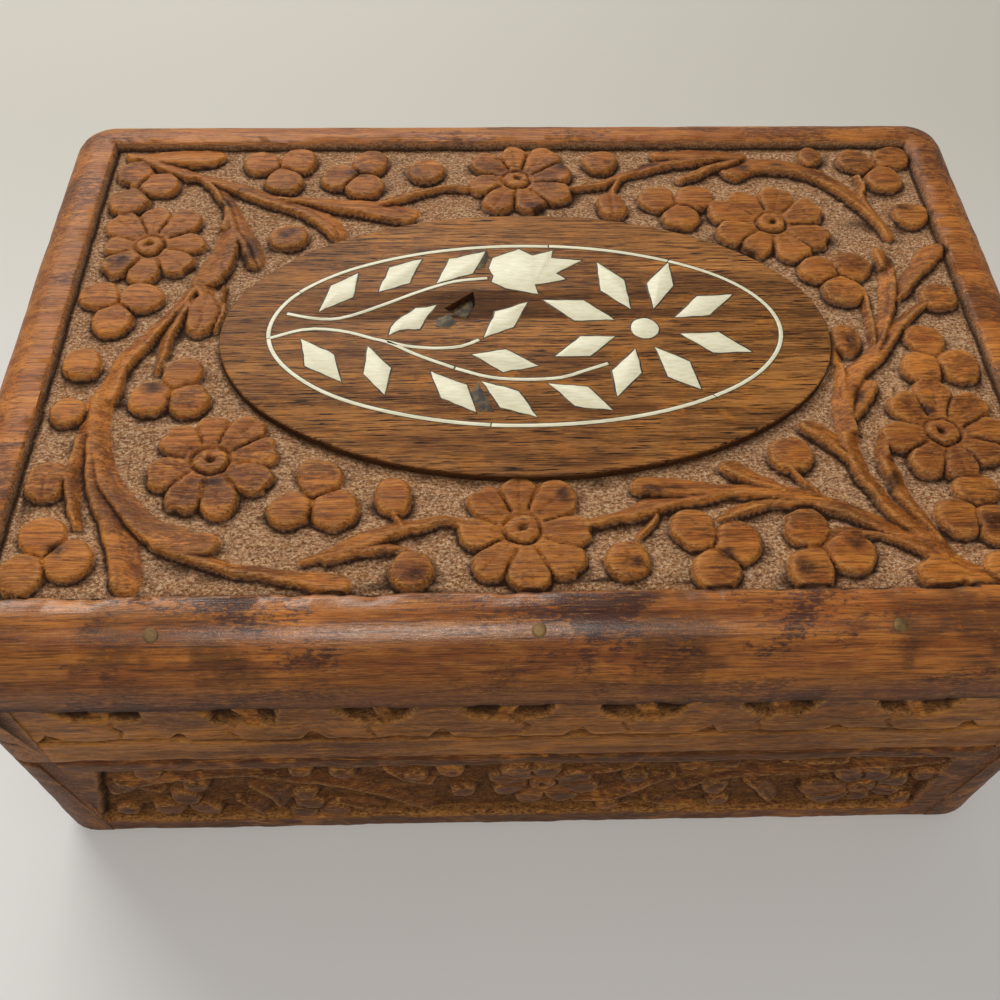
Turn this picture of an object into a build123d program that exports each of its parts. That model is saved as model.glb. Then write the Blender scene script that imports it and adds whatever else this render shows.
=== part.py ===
from build123d import *

import math
import os

# A carved wooden trinket box with an inlaid lid, in millimetres.
# The origin is at the middle of the underside: X runs along the front, Y to the back, Z up.

os.makedirs("parts", exist_ok=True)

# The lid's board
board_length = 152.0
board_depth = 106.0
board_thickness = 13.5
board_corner_radius = 6.5
board_edge_radius = 6.5
board_overhang = 1.0

# The walls of the base and the rails of the lid
base_height = 30.9
rail_height = 18.4
split_gap = 0.2
wall_thickness = 8.5
wall_corner_radius = 6.0
foot_chamfer = 1.8

# The bottom panel in its rebate
bottom_thickness = 4.0
bottom_rebate = 3.0
bottom_clearance = 0.1

# The carved ground of the lid
border_width = 9.2
ground_depth = 1.8
ground_corner_radius = 1.5
oval_half_length = 44.2
oval_half_depth = 25.8
oval_end_radius = 20.0

# The carved flowers, buds and stalks that stand up from the ground
flower_petals = 8
flower_radius = 8.4
flower_notch_radius = 6.8
trefoil_petals = 3
trefoil_radius = 6.0
trefoil_notch_radius = 3.4
bud_sides = 8
stalk_width = 2.2

# The inlay
inlay_depth = 1.5
inlay_clearance = 0.08
inlay_line_width = 0.65
inlay_line_strips = 6
inlay_line_joint = 0.3
oval_to_inlay = 7.4
petal_length = 9.8
petal_width = 4.3
petal_reach = 9.5
petal_count = 8
inlay_leaf_length = 9.6
inlay_leaf_width = 4.0
inlay_stem_width = 0.6
flower_centre_radius = 2.0

# The carved bands on the walls
band_depth = 1.0
notch_pitch = 17.8
notch_width = 5.6
notch_height = 2.8
notch_shift = 6.1
rail_strip_height = 6.0
bay_width = 11.5
bay_drop = 3.0
bay_height = 7.5
panel_top_strip = 4.0
panel_bottom_strip = 7.0
panel_margin = 4.5
vine_pitch = 96.0
vine_steps = 12

# The hinges
hinge_end_distance = 27.0
hinge_length = 16.0
hinge_leaf_width = 7.0
hinge_leaf_thickness = 1.0
hinge_inset = 0.8
knuckle_radius = 1.5
lid_knuckle_length = 5.6
knuckle_gap = 0.2
hinge_room = 0.15
pin_radius = 0.7
pin_clearance = 0.05
lid_opening = 105.0
stop_play = 1.0

# Screws and nails
screw_head_radius = 1.4
screw_shank_radius = 0.7
screw_length = 6.0
screw_spacing = 9.0
fastener_clearance = 0.05
lid_nail_radius = 0.8
lid_nail_shank_radius = 0.6
lid_nail_head_height = 0.8
lid_nail_length = 20.0
lid_nail_end_distances = (30.4, 76.2, 119.5)
lid_nail_setback = 4.2
screw_rim = 0.1
fastener_sides = 8

# Heights and half sizes that follow from these
wall_length = board_length - 2 * board_overhang
wall_depth = board_depth - 2 * board_overhang
inner_length = wall_length - 2 * wall_thickness
inner_depth = wall_depth - 2 * wall_thickness
rail_bottom = base_height + split_gap
board_bottom = rail_bottom + rail_height
lid_top = board_bottom + board_thickness
split_level = base_height + split_gap / 2
hinge_y = wall_depth / 2 - hinge_inset
hinge_spacing = wall_length - 2 * hinge_end_distance
ground_length = board_length - 2 * border_width
ground_width = board_depth - 2 * border_width
line_half_length = oval_half_length - oval_to_inlay
line_half_depth = oval_half_depth - oval_to_inlay

# Places of the carved pattern, drawn for this ground and stretched to the real one: trefoils are
# (x, y, turn), buds (x, y, radius) and leaves (places, width)
pattern_length = 133.6
pattern_depth = 87.6
flowers = [(0, 34.6), (40.3, 23.5), (56.5, -19.3), (-1.3, -34.4), (-42, -23), (-56.8, 19)]
trefoils = [
    (-38.6, 37.9, 158),
    (-26, 36.1, 188),
    (-60.7, 33.2, 11),
    (-59.6, 6.5, 148),
    (-48.7, -10.6, 77),
    (-27.9, -29.3, 85),
    (-60.6, -37.6, 105),
    (23, -37.3, 133),
    (36.5, -37.9, 113),
    (57.6, -32.1, 201),
    (59.1, -5.7, 100),
    (48.5, 11.5, 154),
    (60.5, 37.9, 158),
    (25.9, 28.4, 156),
]
buds = [
    (-14.7, 37, 2.9),
    (14.3, 39, 2.8),
    (15.3, 28.2, 2.7),
    (-36, 20.8, 2.9),
    (-62.5, -5.3, 2.7),
    (-62.6, -14.3, 2.4),
    (-17.7, -29, 2.7),
    (-15.3, -40, 2.8),
    (11.8, -39, 2.9),
    (35.2, -23, 3),
    (46.9, -1.9, 2.6),
    (63.2, 25.6, 2.8),
    (62.7, 6.7, 2.8),
    (49.5, 40.3, 2.3),
    (-62.9, -25.8, 3),
    (50.4, -41.4, 2.5),
    (-46.9, 4.2, 3.2),
]
stalks = [
    [(-63, 41), (-55, 37.5), (-50, 35), (-46, 30), (-44.5, 24), (-45.5, 17), (-49.5, 10.5)],
    [(-54, 37), (-48, 34.5), (-42, 31), (-36, 29), (-30, 28), (-22, 29), (-15, 31.5), (-7, 32.5)],
    [(7, 32), (15, 33), (19, 35.5), (25, 38.5), (37, 40), (46, 37.5), (52, 34), (56, 28), (58, 20)],
    [(-50, 8), (-52.5, 0), (-57, -8), (-58, -15), (-56, -24), (-51, -32), (-44, -38.5), (-38, -40.5)],
    [(-38.4, -40.5), (-32, -40), (-20, -34.5), (-8, -33)],
    [(6, -33), (14, -31), (20, -29), (33, -28.5), (40, -31), (46, -35), (52, -38), (58, -42)],
    [(50, -37), (46, -30), (43.8, -22), (44, -15), (46, -9), (50, -4), (54, 3), (56.5, 10), (57, 17)],
]
leaves = [
    ([(-52, 36.5), (-46, 28.5), (-43.3, 22.5), (-40.6, 15.8)], 2.6),
    ([(-44.5, 32.6), (-38, 29.4), (-32.5, 26.3), (-28.6, 21.9)], 3.4),
    ([(-63.5, 40.8), (-57, 41), (-50.4, 41.2)], 4.2),
    ([(-57.6, -20), (-54, -31), (-51, -37), (-49.9, -41)], 3.2),
    ([(-40, -38.6), (-34, -40), (-24, -42.2)], 2.4),
    ([(14.8, -27.9), (23, -28.3), (28, -28.8)], 3),
    ([(27, -24.8), (33.4, -28.4)], 2.4),
    ([(24.4, 41), (38, 40.8)], 3.2),
    ([(27, 34.4), (31, 36.8), (36.6, 39.8)], 2.4),
    ([(44, -24.5), (41, -20.4), (38.6, -18.2)], 2.8),
    ([(57, 7), (60, 11.4), (65.4, 17.4)], 3),
    ([(52, -37), (49.2, -31), (47.6, -22)], 2.2),
    ([(45, -16), (48.2, -10.6)], 2.8),
    ([(36.4, 36.8), (45.5, 38), (50.5, 35.4)], 4),
]

# Places of the inlay, drawn for this inlaid oval line: leaves are (x, y, angle)
inlay_pattern_length = 36.8
inlay_pattern_depth = 18.4
inlay_flower = (17.7, 0)
inlay_flower_turn = 24.5
inlay_leaves = [
    (-26.8, 7.95, 53.6),
    (-18.2, 11.5, 48.8),
    (-8.85, 13.1, 43.8),
    (-16.25, 1.8, 42.3),
    (-2.55, 1.95, 47.5),
    (-2.8, -6.1, -13.9),
    (-28.9, -5.7, -53),
    (-20.8, -7.8, -73),
    (-10.1, -11.9, -51),
    (-2.3, -13.2, -42),
    (7.6, -13.2, -30),
]
lost_leaf = (-9, 4.9, 47)
inlay_stems = [
    [(-34.2, 3.4), (-31, 2.5), (-28, 2.3), (-24.5, 3.2), (-20, 5.4), (-15, 8), (-10, 10), (-5.6, 10.6)],
    [(-36, -1.3), (-32, 0), (-28, 0.2), (-24, -0.8), (-19.4, -2.4), (-15, -5), (-9.6, -7.5)],
    [(-9.5, -7.6), (-5, -9), (0, -9.5), (5, -9.3), (10.2, -7.6)],
    [(-16, -3.2), (-13, -3.6), (-9.5, -3.3), (-6.3, -2.2)],
]
tulip_back = [(-4.6, 12.6), (-4, 14.6), (0, 16.8), (1.1, 15.6), (4.4, 16), (4.6, 14.4), (8.6, 13.8)]
tulip_front = [(5.4, 11.7), (6.4, 10.5), (2.1, 9.2), (2.3, 7.6), (-2.2, 8.6), (-4.2, 9.9), (-3.9, 11.1)]


def save(part, name):
    """Labels a finished piece and writes its file."""
    part.label = name
    export_step(part, f"parts/{name}.step")


def on_ground(x, y):
    """A place of the carved pattern on the real ground."""
    return (x * ground_length / pattern_length, y * ground_width / pattern_depth)


def on_oval(x, y):
    """A place of the inlay pattern inside the real inlaid line."""
    return (x * line_half_length / inlay_pattern_length, y * line_half_depth / inlay_pattern_depth)


def ribbon(points, width):
    """A strip of one width along short straight runs, its corners mitred."""
    left, right = [], []
    for number, (x, y) in enumerate(points):
        before = points[max(number - 1, 0)]
        after = points[min(number + 1, len(points) - 1)]
        way = Vector(after[0] - before[0], after[1] - before[1]).normalized()
        across = Vector(-way.Y, way.X) * (width / 2)
        left.append(Vector(x, y) + across)
        right.append(Vector(x, y) - across)
    with BuildSketch(mode=Mode.PRIVATE) as strip:
        Polygon(*left, *reversed(right), align=None)
    return strip.sketch


def oval(half_length, half_depth, end_radius):
    """An oval of four arcs that meet smoothly."""
    reach = half_length - end_radius
    side_radius = (half_length**2 + half_depth**2 - 2 * half_length * end_radius) / (
        2 * (half_depth - end_radius)
    )
    lean = math.atan2(side_radius - half_depth, reach)
    x = reach + end_radius * math.cos(lean)
    y = end_radius * math.sin(lean)
    with BuildSketch(mode=Mode.PRIVATE) as outline:
        with BuildLine():
            ThreePointArc((x, -y), (half_length, 0), (x, y))
            ThreePointArc((x, y), (0, half_depth), (-x, y))
            ThreePointArc((-x, y), (-half_length, 0), (-x, -y))
            ThreePointArc((-x, -y), (0, -half_depth), (x, -y))
        make_face()
    return outline.sketch


def flower(x, y, petals, radius, notch_radius, turn=0.0):
    """A carved flower as a knife cuts it: straight-sided petals, one of them aimed at the turn."""
    share = 2 * math.pi / (3 * petals)
    corners = []
    for number in range(3 * petals):
        reach = notch_radius if number % 3 == 0 else radius
        angle = math.radians(turn) + (number - 1.5) * share
        corners.append((x + reach * math.cos(angle), y + reach * math.sin(angle)))
    with BuildSketch(mode=Mode.PRIVATE) as outline:
        Polygon(*corners, align=None)
    return outline.sketch


def diamond(length, width):
    """The corners of a diamond along X, about the origin."""
    return [(length / 2, 0), (0, width / 2), (-length / 2, 0), (0, -width / 2)]


def placed_diamond(x, y, angle, length, width):
    """A diamond as a sketch, turned and set at its place."""
    with BuildSketch(mode=Mode.PRIVATE) as outline:
        with Locations(Location((x, y, 0), (0, 0, angle))):
            Polygon(*diamond(length, width))
    return outline.sketch


def face_plane(side):
    """The outer face of one side of the box, with the sketch's Y upwards."""
    planes = {
        "front": Plane((0, -wall_depth / 2, 0), x_dir=(1, 0, 0), z_dir=(0, -1, 0)),
        "back": Plane((0, wall_depth / 2, 0), x_dir=(-1, 0, 0), z_dir=(0, 1, 0)),
        "left": Plane((-wall_length / 2, 0, 0), x_dir=(0, -1, 0), z_dir=(-1, 0, 0)),
        "right": Plane((wall_length / 2, 0, 0), x_dir=(0, 1, 0), z_dir=(1, 0, 0)),
    }
    return planes[side]


def panel_ground(half_length):
    """What is cut away above and below the wavy stalk of a base panel, in the face's plane."""
    low = panel_bottom_strip
    high = base_height - panel_top_strip
    middle = (low + high) / 2
    rise = (high - low) / 3
    steps = math.ceil(half_length / vine_pitch * vine_steps) + 1
    vine = []
    for step in range(-steps, steps + 1):
        turn = 2 * math.pi * step / vine_steps
        vine.append((step * vine_pitch / vine_steps, middle - rise * math.cos(turn)))
    with BuildSketch(mode=Mode.PRIVATE) as ground:
        with Locations((0, middle)):
            Rectangle(2 * half_length, high - low)
        add(ribbon(vine, stalk_width), mode=Mode.SUBTRACT)
    return ground.sketch


def band_cuts(half_length):
    """The bays under the board and the notches above the plain strip of a lid rail."""
    strip_top = rail_bottom + rail_strip_height
    count = math.ceil(half_length / notch_pitch) + 1
    with BuildSketch(mode=Mode.PRIVATE) as cuts:
        for step in range(-count, count + 1):
            notch = notch_shift + step * notch_pitch
            bay = notch + notch_pitch / 2
            if abs(bay) + bay_width / 2 < half_length:
                Polygon(
                    (bay - bay_width / 2, board_bottom),
                    (bay - bay_width / 2, board_bottom - bay_drop),
                    (bay, board_bottom - bay_height),
                    (bay + bay_width / 2, board_bottom - bay_drop),
                    (bay + bay_width / 2, board_bottom),
                    align=None,
                )
            if abs(notch) + notch_width / 2 < half_length:
                Polygon(
                    (notch - notch_width / 2, strip_top),
                    (notch, strip_top + notch_height),
                    (notch + notch_width / 2, strip_top),
                    align=None,
                )
    return cuts.sketch


def border_top(y):
    """The height of the lid's rounded border at a distance y from its middle line."""
    inset = max(0, abs(y) - (board_depth / 2 - board_edge_radius))
    return lid_top - board_edge_radius + math.sqrt(board_edge_radius**2 - inset**2)


# Where the hinges, screws and brads are: fasteners are placed by the tops of their heads
hinge_places = {"left": -hinge_spacing / 2, "right": hinge_spacing / 2}
plate_front = hinge_y - hinge_leaf_width
plate_back = hinge_y - knuckle_radius - hinge_room
screw_y = (plate_front + plate_back) / 2
lid_nail_y = lid_nail_setback - board_depth / 2
lid_nail_heads = []
for distance in lid_nail_end_distances:
    lid_nail_heads.append(Location((distance - board_length / 2, lid_nail_y, border_top(lid_nail_y))))


def screw_heads(x, body):
    """The heads of the two screws of one leaf, driven down into the base or up into the lid."""
    seat, turn = (rail_bottom, (180, 0, 0)) if body == "lid" else (base_height, (0, 0, 0))
    return [Location((x + side * screw_spacing / 2, screw_y, seat), turn) for side in (-1, 1)]


def fastener(head_radius, head_height, shank_radius, length, room=0.0, rim=0.0):
    """A screw or brad that points down from the origin, or with room its hole; a rim sinks its head."""
    with BuildPart(mode=Mode.PRIVATE) as piece:
        with BuildSketch():
            RegularPolygon(head_radius + room, fastener_sides)
        extrude(amount=-head_height)
        if rim:
            chamfer(piece.faces().sort_by(Axis.Z)[0].edges(), head_height - rim)
        with BuildSketch():
            RegularPolygon(shank_radius + room, fastener_sides)
        extrude(amount=-length - room)
    return piece.part


screw_sizes = (
    screw_head_radius,
    screw_head_radius - screw_shank_radius,
    screw_shank_radius,
    screw_length,
)
nail_sizes = (lid_nail_radius, lid_nail_head_height, lid_nail_shank_radius, lid_nail_length)
screw = fastener(*screw_sizes, rim=screw_rim)
screw_hole = fastener(*screw_sizes, room=fastener_clearance, rim=screw_rim)
nail = fastener(*nail_sizes)
nail_hole = fastener(*nail_sizes, room=fastener_clearance)


def knuckle_spans(x, body):
    """Where the knuckles of one leaf start along X, with their lengths."""
    if body == "lid":
        return [(x - lid_knuckle_length / 2, lid_knuckle_length)]
    outer = (hinge_length - lid_knuckle_length) / 2 - knuckle_gap
    return [(x - hinge_length / 2, outer), (x + hinge_length / 2 - outer, outer)]


def hinge_bed(body):
    """What the hinges, their screws and the stop bevel take out of the back boards."""
    seat, way = (rail_bottom, 1) if body == "lid" else (base_height, -1)
    bed_length = hinge_length + 2 * hinge_room
    bed_front = plate_front - hinge_room
    bed_back = wall_depth / 2 + board_overhang
    bevel = math.radians((lid_opening + stop_play) / 2)
    bevel_width = hinge_inset + board_overhang
    with BuildPart(mode=Mode.PRIVATE) as bed:
        with BuildSketch(Plane.YZ.offset(-wall_length / 2)):
            with BuildLine():
                Polyline(
                    (hinge_y, split_level),
                    (hinge_y + bevel_width, split_level),
                    (hinge_y + bevel_width, split_level + way * bevel_width * math.tan(bevel)),
                    close=True,
                )
            make_face()
        extrude(amount=wall_length)
        for x in hinge_places.values():
            with BuildSketch(Plane.XY.offset(seat)):
                with Locations((x, (bed_front + bed_back) / 2)):
                    Rectangle(bed_length, bed_back - bed_front)
            extrude(amount=way * hinge_leaf_thickness)
            with BuildSketch(Plane.YZ.offset(x - bed_length / 2)):
                with Locations((hinge_y, split_level)):
                    Circle(knuckle_radius + hinge_room)
            extrude(amount=bed_length)
            with Locations(*screw_heads(x, body)):
                add(screw_hole)
    return bed.part


# The inlaid pieces as flat outlines, and the pockets that hold them
inlay_outlines = {}
pocket_outlines = []
for number in range(petal_count):
    angle = inlay_flower_turn + number * 360 / petal_count
    centre_x, centre_y = on_oval(*inlay_flower)
    x = centre_x + petal_reach * math.cos(math.radians(angle))
    y = centre_y + petal_reach * math.sin(math.radians(angle))
    inlay_outlines[f"inlay_petal_{number + 1}"] = placed_diamond(x, y, angle, petal_length, petal_width)
for number, (x, y, angle) in enumerate(inlay_leaves):
    outline = placed_diamond(*on_oval(x, y), angle, inlay_leaf_length, inlay_leaf_width)
    inlay_outlines[f"inlay_leaf_{number + 1}"] = outline
with BuildSketch() as tulip:
    Polygon(*[on_oval(x, y) for x, y in tulip_back + tulip_front], align=None)
inlay_outlines["inlay_tulip"] = tulip.sketch
with BuildSketch() as centre:
    with Locations(on_oval(*inlay_flower)):
        Circle(flower_centre_radius)
inlay_outlines["inlay_flower_centre"] = centre.sketch
for outline in inlay_outlines.values():
    pocket_outlines.append(offset(outline, amount=inlay_clearance, kind=Kind.INTERSECTION))
lost_x, lost_y = on_oval(*lost_leaf[:2])
pocket_outlines.append(placed_diamond(lost_x, lost_y, lost_leaf[2], inlay_leaf_length, inlay_leaf_width))
for number, points in enumerate(inlay_stems):
    places = [on_oval(x, y) for x, y in points]
    inlay_outlines[f"inlay_stem_{number + 1}"] = ribbon(places, inlay_stem_width)
    pocket_outlines.append(ribbon(places, inlay_stem_width + 2 * inlay_clearance))
strip_turn = 360 / inlay_line_strips
far = 2 * line_half_length


def inlaid_line(room):
    """The inlaid oval line, or with room its pocket."""
    with BuildSketch(mode=Mode.PRIVATE) as line:
        for way, mode in ((1, Mode.ADD), (-1, Mode.SUBTRACT)):
            grow = way * (inlay_line_width / 2 + room) - oval_to_inlay
            add(oval(oval_half_length + grow, oval_half_depth + grow, oval_end_radius + grow), mode=mode)
    return line.sketch


for number in range(inlay_line_strips):
    with BuildSketch() as strip:
        add(inlaid_line(0))
        corners = [(0, 0)]
        for share in (0, 0.5, 1):
            angle = math.radians((number + share) * strip_turn + inlay_line_joint * (1 - 2 * share))
            corners.append((far * math.cos(angle), far * math.sin(angle)))
        Polygon(*corners, align=None, mode=Mode.INTERSECT)
    inlay_outlines[f"inlay_border_{number + 1}"] = strip.sketch
pocket_outlines.append(inlaid_line(inlay_clearance))

for name, outline in inlay_outlines.items():
    with BuildPart() as inlay:
        with BuildSketch(Plane.XY.offset(lid_top - inlay_depth)):
            add(outline)
        extrude(amount=inlay_depth)
    save(inlay.part, name)

# The lid's board: rounded edge, sunk ground with its raised pattern, pockets and nail holes
with BuildSketch() as raised:
    add(oval(oval_half_length, oval_half_depth, oval_end_radius))
    for x, y in flowers:
        add(flower(*on_ground(x, y), flower_petals, flower_radius, flower_notch_radius))
    for x, y, turn in trefoils:
        add(flower(*on_ground(x, y), trefoil_petals, trefoil_radius, trefoil_notch_radius, turn))
    for x, y, radius in buds:
        with Locations(on_ground(x, y)):
            RegularPolygon(radius, bud_sides)
    for points in stalks:
        add(ribbon([on_ground(x, y) for x, y in points], stalk_width))
    for points, width in leaves:
        add(ribbon([on_ground(x, y) for x, y in points], width))
with BuildPart() as lid_top_panel:
    with BuildSketch(Plane.XY.offset(board_bottom)):
        RectangleRounded(board_length, board_depth, board_corner_radius)
    extrude(amount=board_thickness)
    fillet(lid_top_panel.faces().sort_by(Axis.Z)[-1].edges(), board_edge_radius)
    with BuildSketch(Plane.XY.offset(lid_top)):
        RectangleRounded(ground_length, ground_width, ground_corner_radius)
        add(raised.sketch, mode=Mode.SUBTRACT)
    extrude(amount=-ground_depth, mode=Mode.SUBTRACT)
    with BuildSketch(Plane.XY.offset(lid_top)):
        for outline in pocket_outlines:
            add(outline)
    extrude(amount=-inlay_depth, mode=Mode.SUBTRACT)
    with Locations(*lid_nail_heads):
        add(nail_hole, mode=Mode.SUBTRACT)
save(lid_top_panel.part, "lid_top_panel")

# The four walls of the base and the four rails of the lid
hinge_beds = {body: hinge_bed(body) for body in ("base", "lid")}
for side in ("front", "back", "left", "right"):
    across = side in ("front", "back")
    sign = 1 if side in ("back", "right") else -1
    if across:
        plan = (inner_length, wall_thickness)
        middle = (0, sign * (wall_depth - wall_thickness) / 2)
        half_face = inner_length / 2
    else:
        plan = (wall_thickness, wall_depth)
        middle = (sign * (wall_length - wall_thickness) / 2, 0)
        half_face = wall_depth / 2 - wall_corner_radius
    with BuildPart() as wall:
        with BuildSketch():
            with Locations(middle):
                Rectangle(*plan)
        extrude(amount=base_height)
        if across:
            feet = wall.faces().sort_by(Axis.Z)[0].edges().filter_by(Axis.X)
            chamfer(feet.sort_by(Axis.Y)[0 if sign < 0 else -1], foot_chamfer)
        else:
            upright = wall.edges().filter_by(Axis.Z).sort_by(Axis.X)
            fillet(upright[:2] if sign < 0 else upright[-2:], wall_corner_radius)
            feet = wall.faces().sort_by(Axis.Z)[0].edges().sort_by(Axis.X)
            chamfer(feet[:-1] if sign < 0 else feet[1:], foot_chamfer)
        with BuildSketch():
            Rectangle(inner_length + 2 * bottom_rebate, inner_depth + 2 * bottom_rebate)
        extrude(amount=bottom_thickness, mode=Mode.SUBTRACT)
        with BuildSketch(face_plane(side)):
            add(panel_ground(half_face - panel_margin))
        extrude(amount=-band_depth, mode=Mode.SUBTRACT)
        if side != "front":
            add(hinge_beds["base"], mode=Mode.SUBTRACT)
    save(wall.part, f"base_{side}_wall")
    with BuildPart() as rail:
        with BuildSketch(Plane.XY.offset(rail_bottom)):
            with Locations(middle):
                Rectangle(*plan)
        extrude(amount=rail_height)
        if not across:
            upright = rail.edges().filter_by(Axis.Z).sort_by(Axis.X)
            fillet(upright[:2] if sign < 0 else upright[-2:], wall_corner_radius)
        with BuildSketch(face_plane(side)):
            add(band_cuts(half_face))
        extrude(amount=-band_depth, mode=Mode.SUBTRACT)
        if side == "front":
            with Locations(*lid_nail_heads):
                add(nail_hole, mode=Mode.SUBTRACT)
        if side != "front":
            add(hinge_beds["lid"], mode=Mode.SUBTRACT)
    save(rail.part, f"lid_{side}_rail")

# The bottom panel, glued into its rebate
with BuildPart() as base_bottom_panel:
    with BuildSketch():
        Rectangle(
            inner_length + 2 * (bottom_rebate - bottom_clearance),
            inner_depth + 2 * (bottom_rebate - bottom_clearance),
        )
    extrude(amount=bottom_thickness)
save(base_bottom_panel.part, "base_bottom_panel")

# The brads that hold the board to the front rail
with BuildPart() as lid_nails:
    with Locations(*lid_nail_heads):
        add(nail)
save(lid_nails.part, "lid_nails")

# The hinges: for each, a leaf and two screws on either body and the pin that joins them
for hinge, x in hinge_places.items():
    for body in ("base", "lid"):
        seat, way = (rail_bottom, 1) if body == "lid" else (base_height, -1)
        spans = knuckle_spans(x, body)
        with BuildPart() as leaf:
            with BuildSketch(Plane.XY.offset(seat)):
                with Locations((x, (plate_front + plate_back) / 2)):
                    Rectangle(hinge_length, plate_back - plate_front)
                for start, length in spans:
                    with Locations((start + length / 2, (plate_back + hinge_y) / 2)):
                        Rectangle(length, hinge_y - plate_back)
            extrude(amount=way * hinge_leaf_thickness)
            for start, length in spans:
                with BuildSketch(Plane.YZ.offset(start)):
                    with Locations((hinge_y, split_level)):
                        Circle(knuckle_radius)
                extrude(amount=length)
            with BuildSketch(Plane.YZ.offset(x - hinge_length / 2)):
                with Locations((hinge_y, split_level)):
                    Circle(pin_radius + pin_clearance)
            extrude(amount=hinge_length, mode=Mode.SUBTRACT)
            with Locations(*screw_heads(x, body)):
                add(screw_hole, mode=Mode.SUBTRACT)
        save(leaf.part, f"hinge_{hinge}_{body}_leaf")
        with BuildPart() as screws:
            with Locations(*screw_heads(x, body)):
                add(screw)
        save(screws.part, f"hinge_{hinge}_{body}_screws")
    with BuildPart() as pin:
        with BuildSketch(Plane.YZ.offset(x - hinge_length / 2)):
            with Locations((hinge_y, split_level)):
                Circle(pin_radius)
        extrude(amount=hinge_length)
    save(pin.part, f"hinge_{hinge}_pin")
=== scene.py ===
import math

import bmesh
import bpy
import numpy as np
from mathutils import Matrix, Vector
from mathutils.geometry import tessellate_polygon


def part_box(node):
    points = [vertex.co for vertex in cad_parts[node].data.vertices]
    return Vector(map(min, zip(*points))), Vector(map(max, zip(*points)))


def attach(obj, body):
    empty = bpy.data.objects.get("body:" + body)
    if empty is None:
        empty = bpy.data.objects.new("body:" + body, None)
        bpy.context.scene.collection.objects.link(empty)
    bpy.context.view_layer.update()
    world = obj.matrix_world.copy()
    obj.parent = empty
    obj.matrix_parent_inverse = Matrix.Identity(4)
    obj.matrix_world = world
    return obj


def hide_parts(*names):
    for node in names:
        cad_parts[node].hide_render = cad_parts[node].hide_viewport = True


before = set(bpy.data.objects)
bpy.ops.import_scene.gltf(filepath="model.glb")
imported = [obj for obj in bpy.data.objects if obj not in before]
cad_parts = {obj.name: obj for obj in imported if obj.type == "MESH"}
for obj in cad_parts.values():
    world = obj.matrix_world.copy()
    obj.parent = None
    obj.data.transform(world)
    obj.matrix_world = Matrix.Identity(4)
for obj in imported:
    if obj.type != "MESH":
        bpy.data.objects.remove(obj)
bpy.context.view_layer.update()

# Lengths below are in millimetres, and MM turns them into the scene's metres
MM = 0.001


def node_box(node):
    """The lowest and highest corner of a CAD node, in millimetres."""
    low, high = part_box(node)
    return np.array(low) / MM, np.array(high) / MM


BOARD_LOW, BOARD_HIGH = node_box("lid_top_panel")
WALL_LOW, WALL_HIGH = node_box("base_front_wall")
RAIL_BOTTOM = node_box("lid_front_rail")[0][2]
PANEL_HIGH = node_box("base_bottom_panel")[1]
LID_TOP = BOARD_HIGH[2]
BOARD_BOTTOM = BOARD_LOW[2]
BASE_TOP = WALL_HIGH[2]
WALL_X = -node_box("base_left_wall")[0][0]
WALL_Y = -WALL_LOW[1]
WALL_THICKNESS = WALL_HIGH[1] - WALL_LOW[1]
JOINT_X = WALL_HIGH[0]

# The lid's border round the sunk field
BORDER = 9.2
FIELD_X = BOARD_HIGH[0] - BORDER
FIELD_Y = BOARD_HIGH[1] - BORDER
FIELD_STEP = 0.26
FACES_KEPT = 0.62
FIELD_DEPTH = 1.4
FIELD_REACH = 2.5
CLEARANCE = 0.005
BORDER_TOP = 0.08
BORDER_FLAT = 2.4
BORDER_CURVE_OUT = 6.8
BORDER_CURVE_DOWN = 9.0
FIELD_CORNER = 1.5
BOARD_CORNER = 6.5

# The raised oval and its inlay
OVAL_CENTRE = (0.5, -0.6)
OVAL_X, OVAL_Y = 44.2, 25.8
OVAL_TOP = LID_TOP - 0.06
OVAL_OVERLAP = 1.3
POCKET_DEPTH = 1.2
GLUE_BOTTOM = OVAL_TOP - 0.3
RING_CENTRE = (0.4, -0.1)
RING_X, RING_Y = 37.1, 17.9
RING_WIDTH = 0.6
INLAY_TOP = LID_TOP - 0.012
INLAY_BOTTOM = node_box("inlay_tulip")[0][2]
STEM_WIDTH = 0.54

# How the knife left the wood
WALL_SLOPE = 0.42
WANDER = 0.36
EDGE_BLUR = 0.42
CURVE_STEP = 1.2
LATTICE = 64
LID_LOBE, WALL_LOBE = 3.05, 2.5
BUD_POWER = 2.15
PETAL_COUNT = 8
FLOWER_REACH, HEART, BOSS = 12, 4.4, 2.2


def smooth(t):
    """A smooth step from 0 to 1."""
    t = np.clip(t, 0, 1)
    return t * t * (3 - 2 * t)


def ridge(distance, width, power=2):
    """1 on a line, falling off to both sides of it."""
    return np.exp(-((distance / width) ** power))


def uneven(x, y, cell, seed):
    """Smooth random values from -1 to 1, with humps about as wide as cell."""
    table = np.random.default_rng(seed).uniform(-1, 1, (LATTICE, LATTICE))
    u, v = np.asarray(x) / cell, np.asarray(y) / cell
    i, j = np.floor(u).astype(int), np.floor(v).astype(int)
    f, g = smooth(u - i), smooth(v - j)
    near, far = (
        table[i % LATTICE, row % LATTICE] * (1 - f) + table[(i + 1) % LATTICE, row % LATTICE] * f
        for row in (j, j + 1)
    )
    return near * (1 - g) + far * g


def blurred(grid, cells):
    """A grid smoothed over some cells."""
    pad = int(4 * cells) + 1
    wide = np.pad(grid, pad, mode="edge")
    v, u = np.meshgrid(np.fft.fftfreq(wide.shape[0]), np.fft.rfftfreq(wide.shape[1]), indexing="ij")
    passed = np.exp(-2 * (math.pi * cells) ** 2 * (u**2 + v**2))
    soft = np.fft.irfft2(np.fft.rfft2(wide) * passed, wide.shape)
    return soft[pad:-pad, pad:-pad]


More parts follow.
